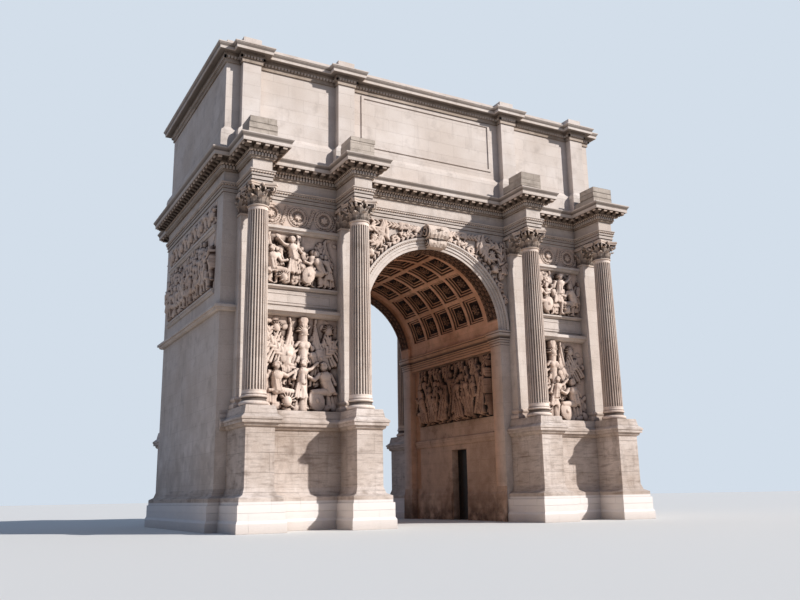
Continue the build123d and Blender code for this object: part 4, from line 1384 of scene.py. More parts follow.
@dataclass
class CofferedVault(SubAssembly):
    """The barrel vault's inner face: stepped coffers set back between two flowered bands."""

    rows: int = 7
    row_angle: float = 23.0
    columns: int = 5
    pitch: float = 1.24
    rib: float = 0.17
    set_back: float = 0.15
    thickness: float = 0.197
    # Each step into a coffer: inset, depth and painted shade, which is dark at the foot of each riser and
    # light on the ribs' edges.
    steps: tuple = (
        (0.0, 0.0, 0.0), (0.01, 0.006, 0.5), (0.02, 0.07, 1.0), (0.045, 0.072, 0.8), (0.06, 0.072, 0.1),
        (0.095, 0.072, 0.0), (0.105, 0.078, 0.6), (0.115, 0.14, 1.0), (0.145, 0.142, 0.85),
        (0.16, 0.142, 0.15), (0.19, 0.142, 0.1), (0.2, 0.148, 0.8), (0.21, 0.188, 1.0), (0.3, 0.19, 1.0),
        (0.5, 0.19, 1.0),
    )
    rosette_radius: float = 0.25
    rosette_rings: tuple = (
        (1.0, 0.0), (0.98, 0.05), (0.8, 0.1), (0.6, 0.05), (0.55, 0.1), (0.38, 0.14), (0.24, 0.07),
        (0.2, 0.14), (0.08, 0.16),
    )
    flower_radius: float = 0.12
    flower_rings: tuple = ((1.0, 0.0), (0.85, 0.045), (0.4, 0.03), (0.28, 0.06), (0.1, 0.065))
    flower_rows: tuple = (-0.23, 0.0, 0.23)
    flower_angles: tuple = (10.0, 170.0)
    flower_margin: float = 1.5
    # How dark the painted shade is on the ground of the flowered end bands.
    band_shade: float = 0.95
    seam: float = 0.002
    clearance: float = 0.004
    widest_arc: float = 0.12
    widest_along: float = 1.0

    def build(self) -> None:
        """Builds the lining, the rosettes and the bands' flowers."""
        self.face = self.plan.arch_radius + self.set_back
        half_length, strip = self.plan.wall_y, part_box("passage_ledges")[1].y
        half_angle = (math.radians(self.row_angle) * self.face - self.rib) / 2
        half_along = (self.pitch - self.rib) / 2
        middle = (self.rows - 1) / 2
        row_centres = [self.face * math.radians(90 + self.row_angle * (i - middle)) for i in range(self.rows)]
        column_centres = [self.pitch * (i - (self.columns - 1) / 2) for i in range(self.columns)]
        arcs = self.lines(row_centres, half_angle, 0.0, math.pi * self.face, self.widest_arc)
        alongs = self.lines(column_centres, half_along, -half_length, half_length, self.widest_along)
        seams = [side * (strip + gap) for side in (-1, 1) for gap in (-self.seam, self.seam)]
        alongs = np.sort([*alongs, *seams])
        arc, along = np.meshgrid(arcs, alongs, indexing="ij")
        sunk = self.inside(arc, row_centres, half_angle)
        sunk = np.minimum(sunk, self.inside(along, column_centres, half_along))
        table, banded = np.array(self.steps), np.abs(along) > strip
        deep = self.face + np.interp(sunk, table[:, 0], table[:, 1]) - self.set_back * banded
        reach = 90 - self.flower_angles[0] + self.flower_margin
        flowered = banded & (np.abs(np.degrees(arc / self.face) - 90) < reach)
        # Painted shade: dark in the coffers' steps and on the flowered bands, none on the ribs.
        shade_and_soot = np.interp(sunk, table[:, 0], table[:, 2]) + self.band_shade * flowered
        shade_and_soot = np.pad(shade_and_soot, ((0, 0), (1, 1)))
        back = np.full((len(arcs), 1), self.face + self.thickness)
        deep = np.hstack([back, deep, back])
        turn = np.hstack([arc[:, :1], arc, arc[:, :1]]) / self.face
        ends = np.full((len(arcs), 1), half_length)
        along = np.hstack([-ends, along, ends])
        height = self.plan.springing + deep * np.sin(turn)
        points = np.stack([deep * np.cos(turn), along, height, shade_and_soot], axis=2)
        faces = rings_to_faces(*points.shape[:2])
        lining = new_mesh("coffered_vault_face", points.reshape(-1, 4), faces, smooth=25)
        self.shop.finish(lining, Finish.VAULT, "coffered_lining")
        reach = self.face + self.steps[-1][1] - self.clearance
        places = [self.place(reach, centre / self.face, y) for centre in row_centres for y in column_centres]
        rosette = self.rosette(self.rosette_radius, 32, self.rosette_rings, 1.0)
        self.shop.copy("vault_rosettes", rosette, places, Finish.VAULT)
        self.flowers((half_length + strip) / 2)

    def flowers(self, middle: float) -> None:
        """Sets staggered rows of small flowers on both end bands."""
        low, high = (math.radians(angle) for angle in self.flower_angles)
        count = round((high - low) * self.plan.arch_radius / self.flower_radius / 2)
        reach, places = self.plan.arch_radius + self.clearance, []
        for row, offset in enumerate(self.flower_rows):
            for step in range(count):
                turn = low + (high - low) * (step + 0.3 + 0.4 * (row % 2)) / count
                places += [self.place(reach, turn, side * (middle + offset)) for side in (-1, 1)]
        flower = self.rosette(self.flower_radius, 16, self.flower_rings, 0.95)
        self.shop.copy("vault_band_flowers", flower, places, Finish.VAULT)

    def place(self, reach: float, turn: float, y: float) -> tuple:
        """A place on the vault and the turn that faces its middle."""
        spot = Vector((reach * math.cos(turn), y, self.plan.springing + reach * math.sin(turn)))
        return spot, (0.0, math.pi / 2 - turn, 0.0)

    def lines(self, centres: Sequence, half: float, low: float, high: float, widest: float) -> np.ndarray:
        """Where grid lines are needed across the coffers, and between them where the face curves.

        Args:
            centres: the coffers' middles.
            half: half a coffer's width.
            low: the grid's start.
            high: the grid's end.
            widest: the widest gap between two lines.

        Returns:
            The lines' places, rising.
        """
        marks = {low, high}
        for centre in centres:
            for reach, *_ in self.steps[:-1]:
                marks |= {centre - half + reach, centre + half - reach}
        ordered = sorted(marks)
        lines = [low]
        for here, after in zip(ordered, ordered[1:]):
            parts = max(1, math.ceil((after - here) / widest))
            lines += [here + (after - here) * (part + 1) / parts for part in range(parts)]
        return np.array(lines)

    def inside(self, spots: np.ndarray, centres: Sequence, half: float) -> np.ndarray:
        """How far inside a coffer's edge each spot is, or zero on a rib."""
        nearest = np.min(np.abs(spots[..., None] - np.array(centres)), axis=-1)
        return np.clip(half - nearest, 0, None)

    def rosette(self, radius: float, sectors: int, rings: Sequence, dark: float) -> bpy.types.Object:
        """A flower of two rings of petals round a button, facing down.

        Args:
            radius: how far its petals reach.
            sectors: how many points a ring has, four or more for each pair of petals.
            rings: (share of the radius, height) of each ring, from the rim to the button.
            dark: how much painted shade its lowest parts get.

        Returns:
            One flower at the origin.
        """
        points = []
        for share, height in rings:
            for sector in range(sectors):
                turn = 2 * math.pi * sector / sectors
                petal = abs(math.cos(4 * turn + (0.0 if share > 0.57 else math.pi / 2)))
                reach = radius * share * (1 - (0.26 * (1 - petal) if share > 0.3 else 0))
                # Painted shade: dark low down, light on the raised middles of the petals.
                shade_and_soot = dark * (1 - height * petal / (0.8 * radius))
                low = -height * (0.55 + 0.45 * petal)
                points.append((reach * math.cos(turn), reach * math.sin(turn), low, shade_and_soot))
        return new_mesh("rosette", points, rings_to_faces(len(rings), sectors), smooth=70)


@dataclass
class Imposts(SubAssembly):
    """The moulded bands that the arch springs from, set back a little between the passage's corner strips."""

    outer_x: float = 3.563
    set_back: float = 0.1
    # The third numbers paint a shadow line under each projecting moulding.
    steps: tuple = (
        (0.004, 0.0), (0.004, 0.1), (0.0, 0.125, 1), (0.03, 0.13), (0.022, 0.2), (0.022, 0.23, 1),
        (0.055, 0.235), (0.045, 0.3), (0.045, 0.33, 1), (0.085, 0.34), (0.09, 0.375), (0.06, 0.385, 0.9),
        (0.06, 0.45, 0.8), (0.11, 0.5, 0.3), (0.145, 0.51), (0.145, 0.6), (0.125, 0.61, 0.8),
        (0.125, 0.63, 0.8), (0.15, 0.65), (0.15, 0.7), (0.09, 0.737),
    )

    def build(self) -> None:
        """Builds the right band and mirrors it."""
        foot, head = levels("imposts")
        face, wall, strip = self.plan.passage_x, self.plan.wall_y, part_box("passage_ledges")[1].y
        back, outer = face + self.set_back, self.outer_x
        profile = [(out, foot + rise, *shade_and_soot) for out, rise, *shade_and_soot in self.steps]
        profile = [(-0.05, foot), *profile, (-0.05, head)]
        outline = [(face, -wall), (outer, -wall), (outer, wall), (face, wall), (face, strip), (back, strip)]
        points, faces = swept_ring(profile, outline + [(back, -strip), (face, -strip)])
        fill = block((back + 0.001, -strip, foot), (outer - 0.01, strip, head - 0.001))
        right = joined([([(min(x, outer), *rest) for x, *rest in points], faces), fill])
        left = ([(-x, *rest) for x, *rest in right[0]], right[1])
        self.shop.finish(new_mesh("moulded_imposts", *joined([right, left])), Finish.ASHLAR, "imposts")


@dataclass
class Keystones(SubAssembly):
    """The scrolled consoles at the head of each arch face."""

    foot_half_width: float = 0.36
    head_half_width: float = 0.45
    ribs: int = 5

    def build(self) -> None:
        """Builds both keystones."""
        shape = self.console(*levels("keystones"))
        parts = []
        for side in (-1, 1):
            turn = Matrix.Identity(4) if side < 0 else Matrix.Rotation(math.pi, 4, "Z")
            parts.append(moved(shape, turn @ Matrix.Translation((0, -self.plan.wall_y, 0))))
        piece = new_mesh("scrolled_keystones", *joined(parts), smooth=40)
        self.shop.finish(piece, Finish.CARVED, "keystones")

    def console(self, foot: float, head: float) -> tuple[list, list]:
        """One console with its foot near the wall and its head roll far out.

        Args:
            foot: the height of its foot.
            head: the height of its head.

        Returns:
            Points and faces, with the wall plane at Y = 0 and the face towards -Y.
        """
        tall = head - foot
        low_roll, high_roll = (0.21, 0.2, 0.2), (0.235, 0.61, 0.325)
        curve = [(0.1, 0.0)]
        for (out, rise, radius), start, end in ((low_roll, -75, 55), (high_roll, -50, 88)):
            for degrees in np.linspace(start, end, 11):
                turn = math.radians(degrees)
                curve.append((out + radius * math.cos(turn), rise + radius * math.sin(turn)))
        curve.append((0.1, tall - 0.004))
        points, across = [], 33
        for out, rise in curve:
            share = rise / tall
            half = between(self.foot_half_width, self.head_half_width, share)
            for step in range(across):
                side = 2 * step / (across - 1) - 1
                groove = abs(math.sin(self.ribs * math.pi * (side + 1) / 2)) ** 0.6
                edge = 1.0 if abs(side) < 0.86 else 0.0
                leafy = 0.02 * math.sin(38 * rise + 3 * abs(side)) * edge
                points.append((half * side, -(out - 0.04 * (1 - groove) * edge + leafy), foot + rise))
            points += [(half, 0.0, foot + rise), (-half, 0.0, foot + rise)]
        parts = [(points, rings_to_faces(len(curve), across + 2))]
        rolls = ((low_roll, self.foot_half_width + 0.03), (high_roll, self.head_half_width))
        for (out, rise, radius), half in rolls:
            middle = (out, foot + rise)
            parts.append(spiral_ribbon(middle, radius * 0.86, 2.25, 2 * half + 0.02, radius * 0.2))
            hub = [(radius * 0.16, half + 0.04), (radius * 0.2, half + 0.02)]
            hub = turned_solid([(wide, -far) for wide, far in hub] + hub[::-1], 12)
            turn = Matrix.Translation((0, -out, foot + rise)) @ Matrix.Rotation(math.pi / 2, 4, "Y")
            parts.append(moved(hub, turn))
        leaf = AcanthusLeaf(0.5, 0.5, 0.14, rows=17, columns=13, thick=0.04).build()
        spot = Matrix.Translation((0, -0.4, foot + 0.3)) @ Matrix.Rotation(math.radians(10), 4, "X")
        return joined(parts + [moved(leaf, spot)])
@dataclass
class Carving:
    """A carved panel as heights over its plane, built up from raised shapes from the back to the front."""

    width: float
    height: float
    cell: float
    seed: int
    ground: float = 0.0
    blend: float = 0.018
    # How dark the painted shade in the hollows is, with their dirt.
    shade_and_grime: float = 1.0
    level: np.ndarray = field(init=False)

    def __post_init__(self) -> None:
        """Makes the grid."""
        self.across = np.linspace(0, self.width, max(2, round(self.width / self.cell) + 1))
        self.upright = np.linspace(0, self.height, max(2, round(self.height / self.cell) + 1))
        self.level = np.full((len(self.upright), len(self.across)), self.ground)
        self.random = np.random.default_rng(self.seed)

    def window(self, low: Sequence[float], high: Sequence[float]) -> tuple:
        """The part of the grid between two corners, with its places."""
        columns = slice(*np.searchsorted(self.across, (low[0], high[0])))
        rows = slice(*np.searchsorted(self.upright, (low[1], high[1])))
        x, z = np.meshgrid(self.across[columns], self.upright[rows])
        return (rows, columns), x, z

    def round_window(self, middle: Sequence[float], reach: float) -> tuple:
        """The part of the grid round a middle, with its places."""
        low, high = ((middle[0] + way * reach, middle[1] + way * reach) for way in (-1, 1))
        return self.window(low, high)

    def lift(self, part: tuple, heights: np.ndarray) -> None:
        """Raises a part of the grid to new heights, with a soft join where they meet the old ones."""
        old = self.level[part]
        near = np.clip(self.blend - np.abs(old - heights), 0, None) / self.blend
        self.level[part] = np.where(heights > -1, np.maximum(old, heights) + near**2 * self.blend / 4, old)

    def shade_and_soot(self) -> np.ndarray:
        """How much painted shade and sooty dirt each spot gets: more the further it lies below the carving
        round it.
        """
        total = np.zeros_like(self.level)
        for reach, share in ((0.05, 0.55), (0.16, 0.75)):
            near, span = self.level, max(1, round(reach / self.cell))
            for axis in (0, 1):
                wide = np.pad(near, [(span + 1, span) if axis == a else (0, 0) for a in (0, 1)], mode="edge")
                sums = np.cumsum(wide, axis)
                size = near.shape[axis]
                window = 2 * span + 1
                near = sums.take(range(window, size + window), axis) - sums.take(range(size), axis)
                near = near / window
            total += share * np.clip((near - self.level) / (0.35 * reach) - 0.12, 0, 1)
        return np.clip(total * self.shade_and_grime, 0, 1)

    def limb(self, start: Sequence[float], end: Sequence[float], radii: tuple, lifts: tuple) -> None:
        """Raises a rounded bar that tapers from one end to the other.

        Args:
            start: the first end (across, up, ...).
            end: the second end.
            radii: the radius at each end.
            lifts: how far the bar's middle stands off the ground at each end.
        """
        reach = max(radii)
        low = (min(start[0], end[0]) - reach, min(start[1], end[1]) - reach)
        high = (max(start[0], end[0]) + reach, max(start[1], end[1]) + reach)
        part, x, z = self.window(low, high)
        if not x.size:
            return
        run = (end[0] - start[0], end[1] - start[1])
        length = max(1e-9, run[0] ** 2 + run[1] ** 2)
        share = np.clip(((x - start[0]) * run[0] + (z - start[1]) * run[1]) / length, 0, 1)
        away = (x - start[0] - share * run[0]) ** 2 + (z - start[1] - share * run[1]) ** 2
        radius = between(*radii, share)
        heights = between(*lifts, share) + np.sqrt(np.clip(radius**2 - away, 0, None))
        self.lift(part, np.where(away < radius**2, heights, -2))

    def chain(self, points: Sequence[tuple[float, float]], radii: tuple[float, float], lifts: tuple) -> None:
        """Raises a bent bar through several points."""
        count = len(points) - 1
        for step in range(count):
            ends = (step / count, (step + 1) / count)
            radius = tuple(between(*radii, share) for share in ends)
            height = tuple(between(*lifts, share) for share in ends)
            self.limb(points[step], points[step + 1], radius, height)

    def oval(self, middle: Sequence[float], sizes: tuple, lean: float, lift: float) -> None:
        """Raises a rounded oval.

        Args:
            middle: its middle.
            sizes: its half length, half width and depth.
            lean: how far its length turns from the upright, in radians.
            lift: how far its middle stands off the ground.
        """
        part, x, z = self.round_window(middle, max(sizes[:2]))
        if not x.size:
            return
        x, z = x - middle[0], z - middle[1]
        along = (z * math.cos(lean) + x * math.sin(lean)) / sizes[0]
        aside = (x * math.cos(lean) - z * math.sin(lean)) / sizes[1]
        away = along**2 + aside**2
        self.lift(part, np.where(away < 1, lift + sizes[2] * np.sqrt(np.clip(1 - away, 0, None)), -2))

    def ring(self, middle: Sequence[float], radius: float, thick: float, lift: float) -> None:
        """Raises a round hoop."""
        part, x, z = self.round_window(middle, radius + thick)
        away = np.abs(np.hypot(x - middle[0], z - middle[1]) - radius)
        heights = np.where(away < thick, lift + np.sqrt(np.clip(thick**2 - away**2, 0, None)), -2)
        self.lift(part, heights)

    def leaves(self, points: Sequence[tuple[float, float]], size: float, lift: float) -> None:
        """Raises a leafy stem with a leaf on each side at every point."""
        for here, after in zip(points, points[1:]):
            lean = math.atan2(after[0] - here[0], after[1] - here[1])
            for side in (-1, 1):
                turn = lean + side * 0.6
                height = lift + self.random.uniform(0, size * 0.25)
                self.oval(round_spot(here, size * 0.6, turn), (size, size * 0.34, size * 0.4), turn, height)
        self.chain(points, (size * 0.16, size * 0.1), (lift + size * 0.2, lift + size * 0.2))

    def wreath(self, middle: Sequence[float], radius: float, size: float, lift: float) -> None:
        """Raises a round wreath of overlapping leaves, tied at its foot."""
        count = max(10, round(2 * math.pi * radius / size * 1.1))
        for step in range(count):
            turn = 2 * math.pi * step / count
            for side in (-1, 1):
                spot = round_spot(middle, radius + side * size * 0.3, turn)
                way = turn + (math.pi / 2 if math.sin(turn) < 0 else -math.pi / 2) + side * 0.45
                self.oval(spot, (size * 0.72, size * 0.3, size * 0.5), way, lift)
        self.oval((middle[0], middle[1] - radius), (size * 0.5, size * 0.7, size * 0.7), 0.0, lift + 0.02)

    def shield(self, middle: Sequence[float], sizes: tuple[float, float], lean: float, lift: float) -> None:
        """Raises an oval shield with a rim and a boss."""
        self.oval(middle, (*sizes, 0.05), lean, lift + 0.04)
        self.oval(middle, (sizes[0] * 0.82, sizes[1] * 0.82, 0.07), lean, lift + 0.045)
        self.oval(middle, (sizes[0] * 0.24, sizes[1] * 0.24, 0.07), lean, lift + 0.1)
        for step in range(8):
            turn = lean + math.pi / 4 * step
            far = (middle[0] + sizes[1] * 0.66 * math.sin(turn), middle[1] + sizes[0] * 0.66 * math.cos(turn))
            self.limb(middle, far, (0.03, 0.012), (lift + 0.09, lift + 0.08))

    def folds(self, heads: Sequence, feet: Sequence, count: int, radius: float, lifts: tuple) -> None:
        """Raises cloth that hangs in folds between a line above and a line below.

        Args:
            heads: the two ends of the line that it hangs from.
            feet: the two ends of its hem.
            count: how many folds it has.
            radius: a fold's radius.
            lifts: how far the folds stand off the ground above and below.
        """
        for step in range(count):
            share = step / max(1, count - 1)
            above, below = ([between(*ends, share) for ends in zip(*line)] for line in (heads, feet))
            sway = self.random.uniform(-0.6, 0.6) * radius
            middle = ((above[0] + below[0]) / 2 + sway, (above[1] + below[1]) / 2)
            below[1] += self.random.uniform(-1, 1) * radius
            depth = self.random.uniform(0, radius * 0.9)
            radii = (radius * 0.7, radius * 1.25)
            self.chain([above, middle, below], radii, (lifts[0] + depth, lifts[1] + depth))

    def helmet(self, middle: Sequence[float], size: float, lift: float, side: int) -> None:
        """Raises a crested helmet."""
        self.oval(middle, (size, size * 0.85, size * 0.8), 0.0, lift)
        rear = (middle[0] - side * size * 0.7, middle[1] - size * 0.7)
        peak = (middle[0] + side * size, middle[1] - size * 0.5)
        self.limb(rear, peak, (0.03, 0.02), (lift + 0.07, lift + 0.05))
        for step in range(7):
            turn = -side * (step - 2.2) * 0.38
            spot = round_spot(middle, size * 1.2, turn)
            self.oval(spot, (size * 0.5, size * 0.16, size * 0.3), turn, lift + 0.05)

    def cuirass(self, middle: Sequence[float], size: float, lift: float) -> None:
        """Raises an empty breastplate with a fringe of straps."""
        x, z = middle

        def spots(*shares: tuple[float, float]) -> list[tuple[float, float]]:
            """Spots round its middle, in shares of its size."""
            return [(x + aside * size, z + up * size) for aside, up in shares]

        straps = spots((-0.55, -0.7), (0.55, -0.7)), spots((-0.75, -1.35), (0.75, -1.35))
        self.folds(*straps, 8, size * 0.09, (lift, lift))
        waist_to_neck = spots((0.0, -0.6), (0.0, 0.35))
        self.limb(*waist_to_neck, (size * 0.55, size * 0.68), (lift - size * 0.3, lift - size * 0.28))
        for side in (-1, 1):
            breast = spots((side * 0.27, 0.3))[0]
            self.oval(breast, (size * 0.34, size * 0.3, size * 0.2), 0.0, lift + size * 0.26)
            shoulder = spots((side * 0.5, 0.6), (side * 0.85, 0.25))
            self.limb(*shoulder, (size * 0.2, size * 0.16), (lift, lift))
        self.ring((x, z + size * 0.85), size * 0.2, size * 0.08, lift + size * 0.1)

    def figure(
        self, foot: Sequence[float], tall: float, lift: float, side: int, arm: float, seated: bool = False
    ) -> None:
        """Raises a generic draped figure.

        Args:
            foot: where its feet stand.
            tall: its height when it stands up.
            lift: how far its body stands off the ground.
            side: which way it looks, 1 or -1.
            arm: how high its forward arm is raised, from 0 to 1.
            seated: whether it sits.
        """
        chance = self.random
        x, z = foot

        def near(spot: Sequence[float], aside: float, up: float = 0.0) -> tuple[float, float]:
            """A spot moved aside and up by shares of the height."""
            return spot[0] + aside * tall, spot[1] + up * tall

        def sized(*shares: float) -> tuple[float, ...]:
            """Shares of the height as sizes."""
            return tuple(share * tall for share in shares)

        drop = 0.22 * tall if seated else 0.0
        tilt = side * chance.uniform(-0.02, 0.09) * tall
        hip = (x, z + 0.52 * tall - drop)
        chest = (x + tilt, z + 0.74 * tall - drop)
        neck = (x + tilt * 1.2, z + 0.84 * tall - drop)
        head = (x + tilt * 1.35 + side * 0.012 * tall, z + 0.925 * tall - drop)
        back = near(foot, -side * 0.13, 0.1)
        cloak = (neck, near(neck, -side * 0.12)), ((x, back[1]), near(back, -side * 0.06))
        self.folds(*cloak, 5, 0.028 * tall, (lift * 0.5, lift * 0.4))
        for rank, reach in ((0, -0.075), (1, 0.08)):
            step = side * reach * tall * (1.0 if not seated else 1.6)
            knee = x + step * (1.3 if rank else 0.8) + side * (0.12 * tall if seated else 0)
            knee = (knee, z + 0.28 * tall)
            ankle = (x + step * 1.2 + side * (0.1 * tall if seated else 0), z + 0.045 * tall)
            toe = (ankle[0] + side * 0.075 * tall, z + 0.02 * tall)
            deep = lift * (0.55 + 0.35 * rank)
            self.limb(hip, knee, sized(0.072, 0.048), (deep, deep + (0.05 if seated else 0.02)))
            self.limb(knee, ankle, sized(0.045, 0.027), (deep + 0.02, deep))
            self.limb(ankle, toe, sized(0.026, 0.018), (deep, deep))
        hem = z + (0.3 + chance.uniform(-0.08, 0.03)) * tall
        skirt = (near(hip, -0.075), near(hip, 0.075)), ((x - 0.12 * tall, hem), (x + 0.13 * tall, hem))
        self.folds(*skirt, 7, 0.022 * tall, (lift + 0.03, lift + 0.03))
        self.limb(hip, chest, sized(0.078, 0.098), (lift * 0.9, lift))
        self.oval(near(chest, side * 0.01, 0.02), sized(0.09, 0.1, 0.07), tilt, lift + 0.045 * tall)
        shirt = (near(neck, -0.07, -0.02), near(neck, 0.03)), (hip, near(hip, 0.08))
        self.folds(*shirt, 4, 0.016 * tall, (lift + 0.085 * tall, lift + 0.06 * tall))
        for rank in (-1, 1):
            shoulder = near(chest, rank * side * 0.1, 0.055)
            raised = arm if rank > 0 else chance.uniform(-0.2, 0.5)
            drop = 0.14 * tall * (1 - 1.5 * raised)
            elbow = (shoulder[0] + side * rank * 0.09 * tall, shoulder[1] - drop)
            aside = side * 0.13 * tall * (0.6 + 0.4 * rank)
            hand = (elbow[0] + aside, elbow[1] + 0.13 * tall * (raised + 0.15))
            deep = lift + (0.035 if rank > 0 else -0.02)
            self.limb(shoulder, elbow, sized(0.042, 0.032), (deep, deep + 0.02))
            self.limb(elbow, hand, sized(0.031, 0.024), (deep + 0.02, deep + 0.04))
            self.oval(hand, sized(0.034, 0.026, 0.026), 0.0, deep + 0.045)
        self.limb(neck, head, sized(0.036, 0.036), (lift, lift + 0.01))
        self.oval(head, sized(0.068, 0.052, 0.055), side * 0.12, lift + 0.02)
        for step in range(6):
            turn = math.radians(-75 + 34 * step) - side * 0.5
            height = head[1] + 0.014 * tall + 0.05 * tall * math.cos(turn)
            curl = (head[0] + 0.045 * tall * math.sin(turn), height)
            self.oval(curl, sized(0.026, 0.022, 0.022), turn, lift + 0.045 * tall)

    def crowd(self, count: int, tall: float, rows: int, lift: float) -> None:
        """Raises rows of figures with spears, shields and banners, the rear rows first.

        Args:
            count: how many figures a row has.
            tall: a figure's height.
            rows: how many rows there are.
            lift: how far the front row's bodies stand off the ground.
        """
        chance = self.random
        self.rough(0.0, self.height)
        for row in range(rows):
            depth = lift * (row + 0.6) / (rows - 0.4)
            base = (rows - 1 - row) * tall * 0.2
            for spot in np.linspace(0.06, 0.94, count) * self.width + (row % 2) * self.width / count / 2:
                x = spot + chance.uniform(-0.12, 0.12) * tall
                if not 0.08 * tall < x < self.width - 0.08 * tall:
                    continue
                side = int(chance.choice((-1, 1)))
                if chance.random() < 0.55:
                    lean = chance.uniform(-0.35, 0.35) * 0.5 * tall
                    top = min(self.height - 0.04, base + tall * 1.15)
                    ends = (x - lean, base + 0.2), (x + lean, top)
                    self.limb(*ends, (0.016, 0.014), (depth * 0.6, depth * 0.8))
                own = tall * chance.uniform(0.9, 1.05)
                self.figure((x, base), own, depth, side, chance.uniform(0, 0.9), chance.random() < 0.18)
                if chance.random() < 0.4:
                    hold = (x + side * 0.14 * tall, base + 0.5 * tall)
                    self.shield(hold, (0.2 * tall, 0.15 * tall), chance.uniform(-0.4, 0.4), depth + 0.01)

    def rough(self, low: float, high: float) -> None:
        """Raises uneven rock and cloud between two levels of the ground."""
        chance = self.random
        for _ in range(int(self.width * (high - low) * 9)):
            spot = (chance.uniform(0, self.width), chance.uniform(low, high))
            size = chance.uniform(0.06, 0.17)
            self.oval(spot, (size, size * 0.6, size * 0.4), chance.uniform(0, 3), chance.uniform(-0.02, 0.03))

    def banner(self, foot: Sequence[float], head: Sequence[float], drop: float, lift: float) -> None:
        """Raises a pole with a leaf-shaped point and a cloth that hangs from its upper half in folds."""
        self.limb(foot, head, (0.028, 0.022), (lift, lift + 0.03))
        lean = math.atan2(head[0] - foot[0], head[1] - foot[1])
        self.oval(head, (0.15, 0.05, 0.05), lean, lift + 0.04)
        low, high = ([between(*ends, share) for ends in zip(foot, head)] for share in (0.45, 0.93))
        feet = (low[0] + 0.04, low[1] - drop * 0.55), (high[0] + 0.5 * (head[0] - foot[0]), high[1] - drop)
        self.folds((low, high), feet, 7, 0.055, (lift + 0.04, lift + 0.02))

    def scroll(self, middle: Sequence[float], radius: float, turn: float, way: int, lift: float) -> None:
        """Raises a leafy stem that winds inwards round a flower.

        Args:
            middle: the flower's middle.
            radius: how far out the stem starts.
            turn: the angle from the upright at which it starts, in radians.
            way: 1 where it winds to the right, -1 where it winds to the left.
            lift: how far it stands off the ground.
        """
        stem = []
        for step in range(13):
            stem.append(round_spot(middle, radius * (1 - 0.055 * step), turn + way * 0.52 * step))
        self.chain(stem, (radius * 0.13, radius * 0.08), (lift, lift + radius * 0.14))
        self.leaves(stem, radius * 0.34, lift)
        for petal in range(8):
            angle = math.pi / 4 * petal + turn
            sizes = (radius * 0.16, radius * 0.07, radius * 0.12)
            self.oval(round_spot(middle, radius * 0.16, angle), sizes, angle, lift + radius * 0.12)
        self.oval(middle, (radius * 0.09, radius * 0.09, radius * 0.12), 0.0, lift + radius * 0.16)

    def trophy(self, x: float, lift: float) -> None:
        """Raises a post hung with arms, with banners behind it."""
        tall = self.height
        self.rough(0.0, tall)
        for side in (-1, 1):
            poles = ((0.2, 0.5, 0.97), (0.35, 0.95, 0.9), (0.5, 1.3, 0.76))
            for step, (near, far, rise) in enumerate(poles):
                foot, head = (x + side * near, tall * 0.36), (x + side * far, tall * rise)
                self.banner(foot, head, 0.75 - 0.1 * step, 0.03 + 0.02 * step)
            stem = [(x + side * (0.25 + 0.13 * s), tall * (0.45 + 0.035 * s)) for s in range(9)]
            self.leaves(stem, 0.2, 0.08)
            self.leaves([(a, b + 0.45 - 0.02 * s) for s, (a, b) in enumerate(stem[1:8])], 0.15, 0.06)
            self.helmet((x + side * 1.02, tall * 0.87), 0.15, 0.08, side)
        self.limb((x, 0.1), (x, tall - 0.04), (0.17, 0.15), (0.1, 0.12))
        self.ring((x, tall - 0.12), 0.11, 0.05, 0.2)
        self.cuirass((x, tall * 0.66), 0.36, lift)
        self.helmet((x, tall * 0.84), 0.17, lift + 0.03, 1)
        self.shield((x - 0.62, tall * 0.6), (0.36, 0.26), 0.35, lift * 0.7)
        self.shield((x + 0.66, tall * 0.57), (0.34, 0.27), -0.3, lift * 0.7)


@dataclass(frozen=True)
class Place:
    """Where a panel stands: its lower left corner from outside, its wall's distance and the arch's side."""

    left: float
    foot: float
    wall: float
    facing: Facing


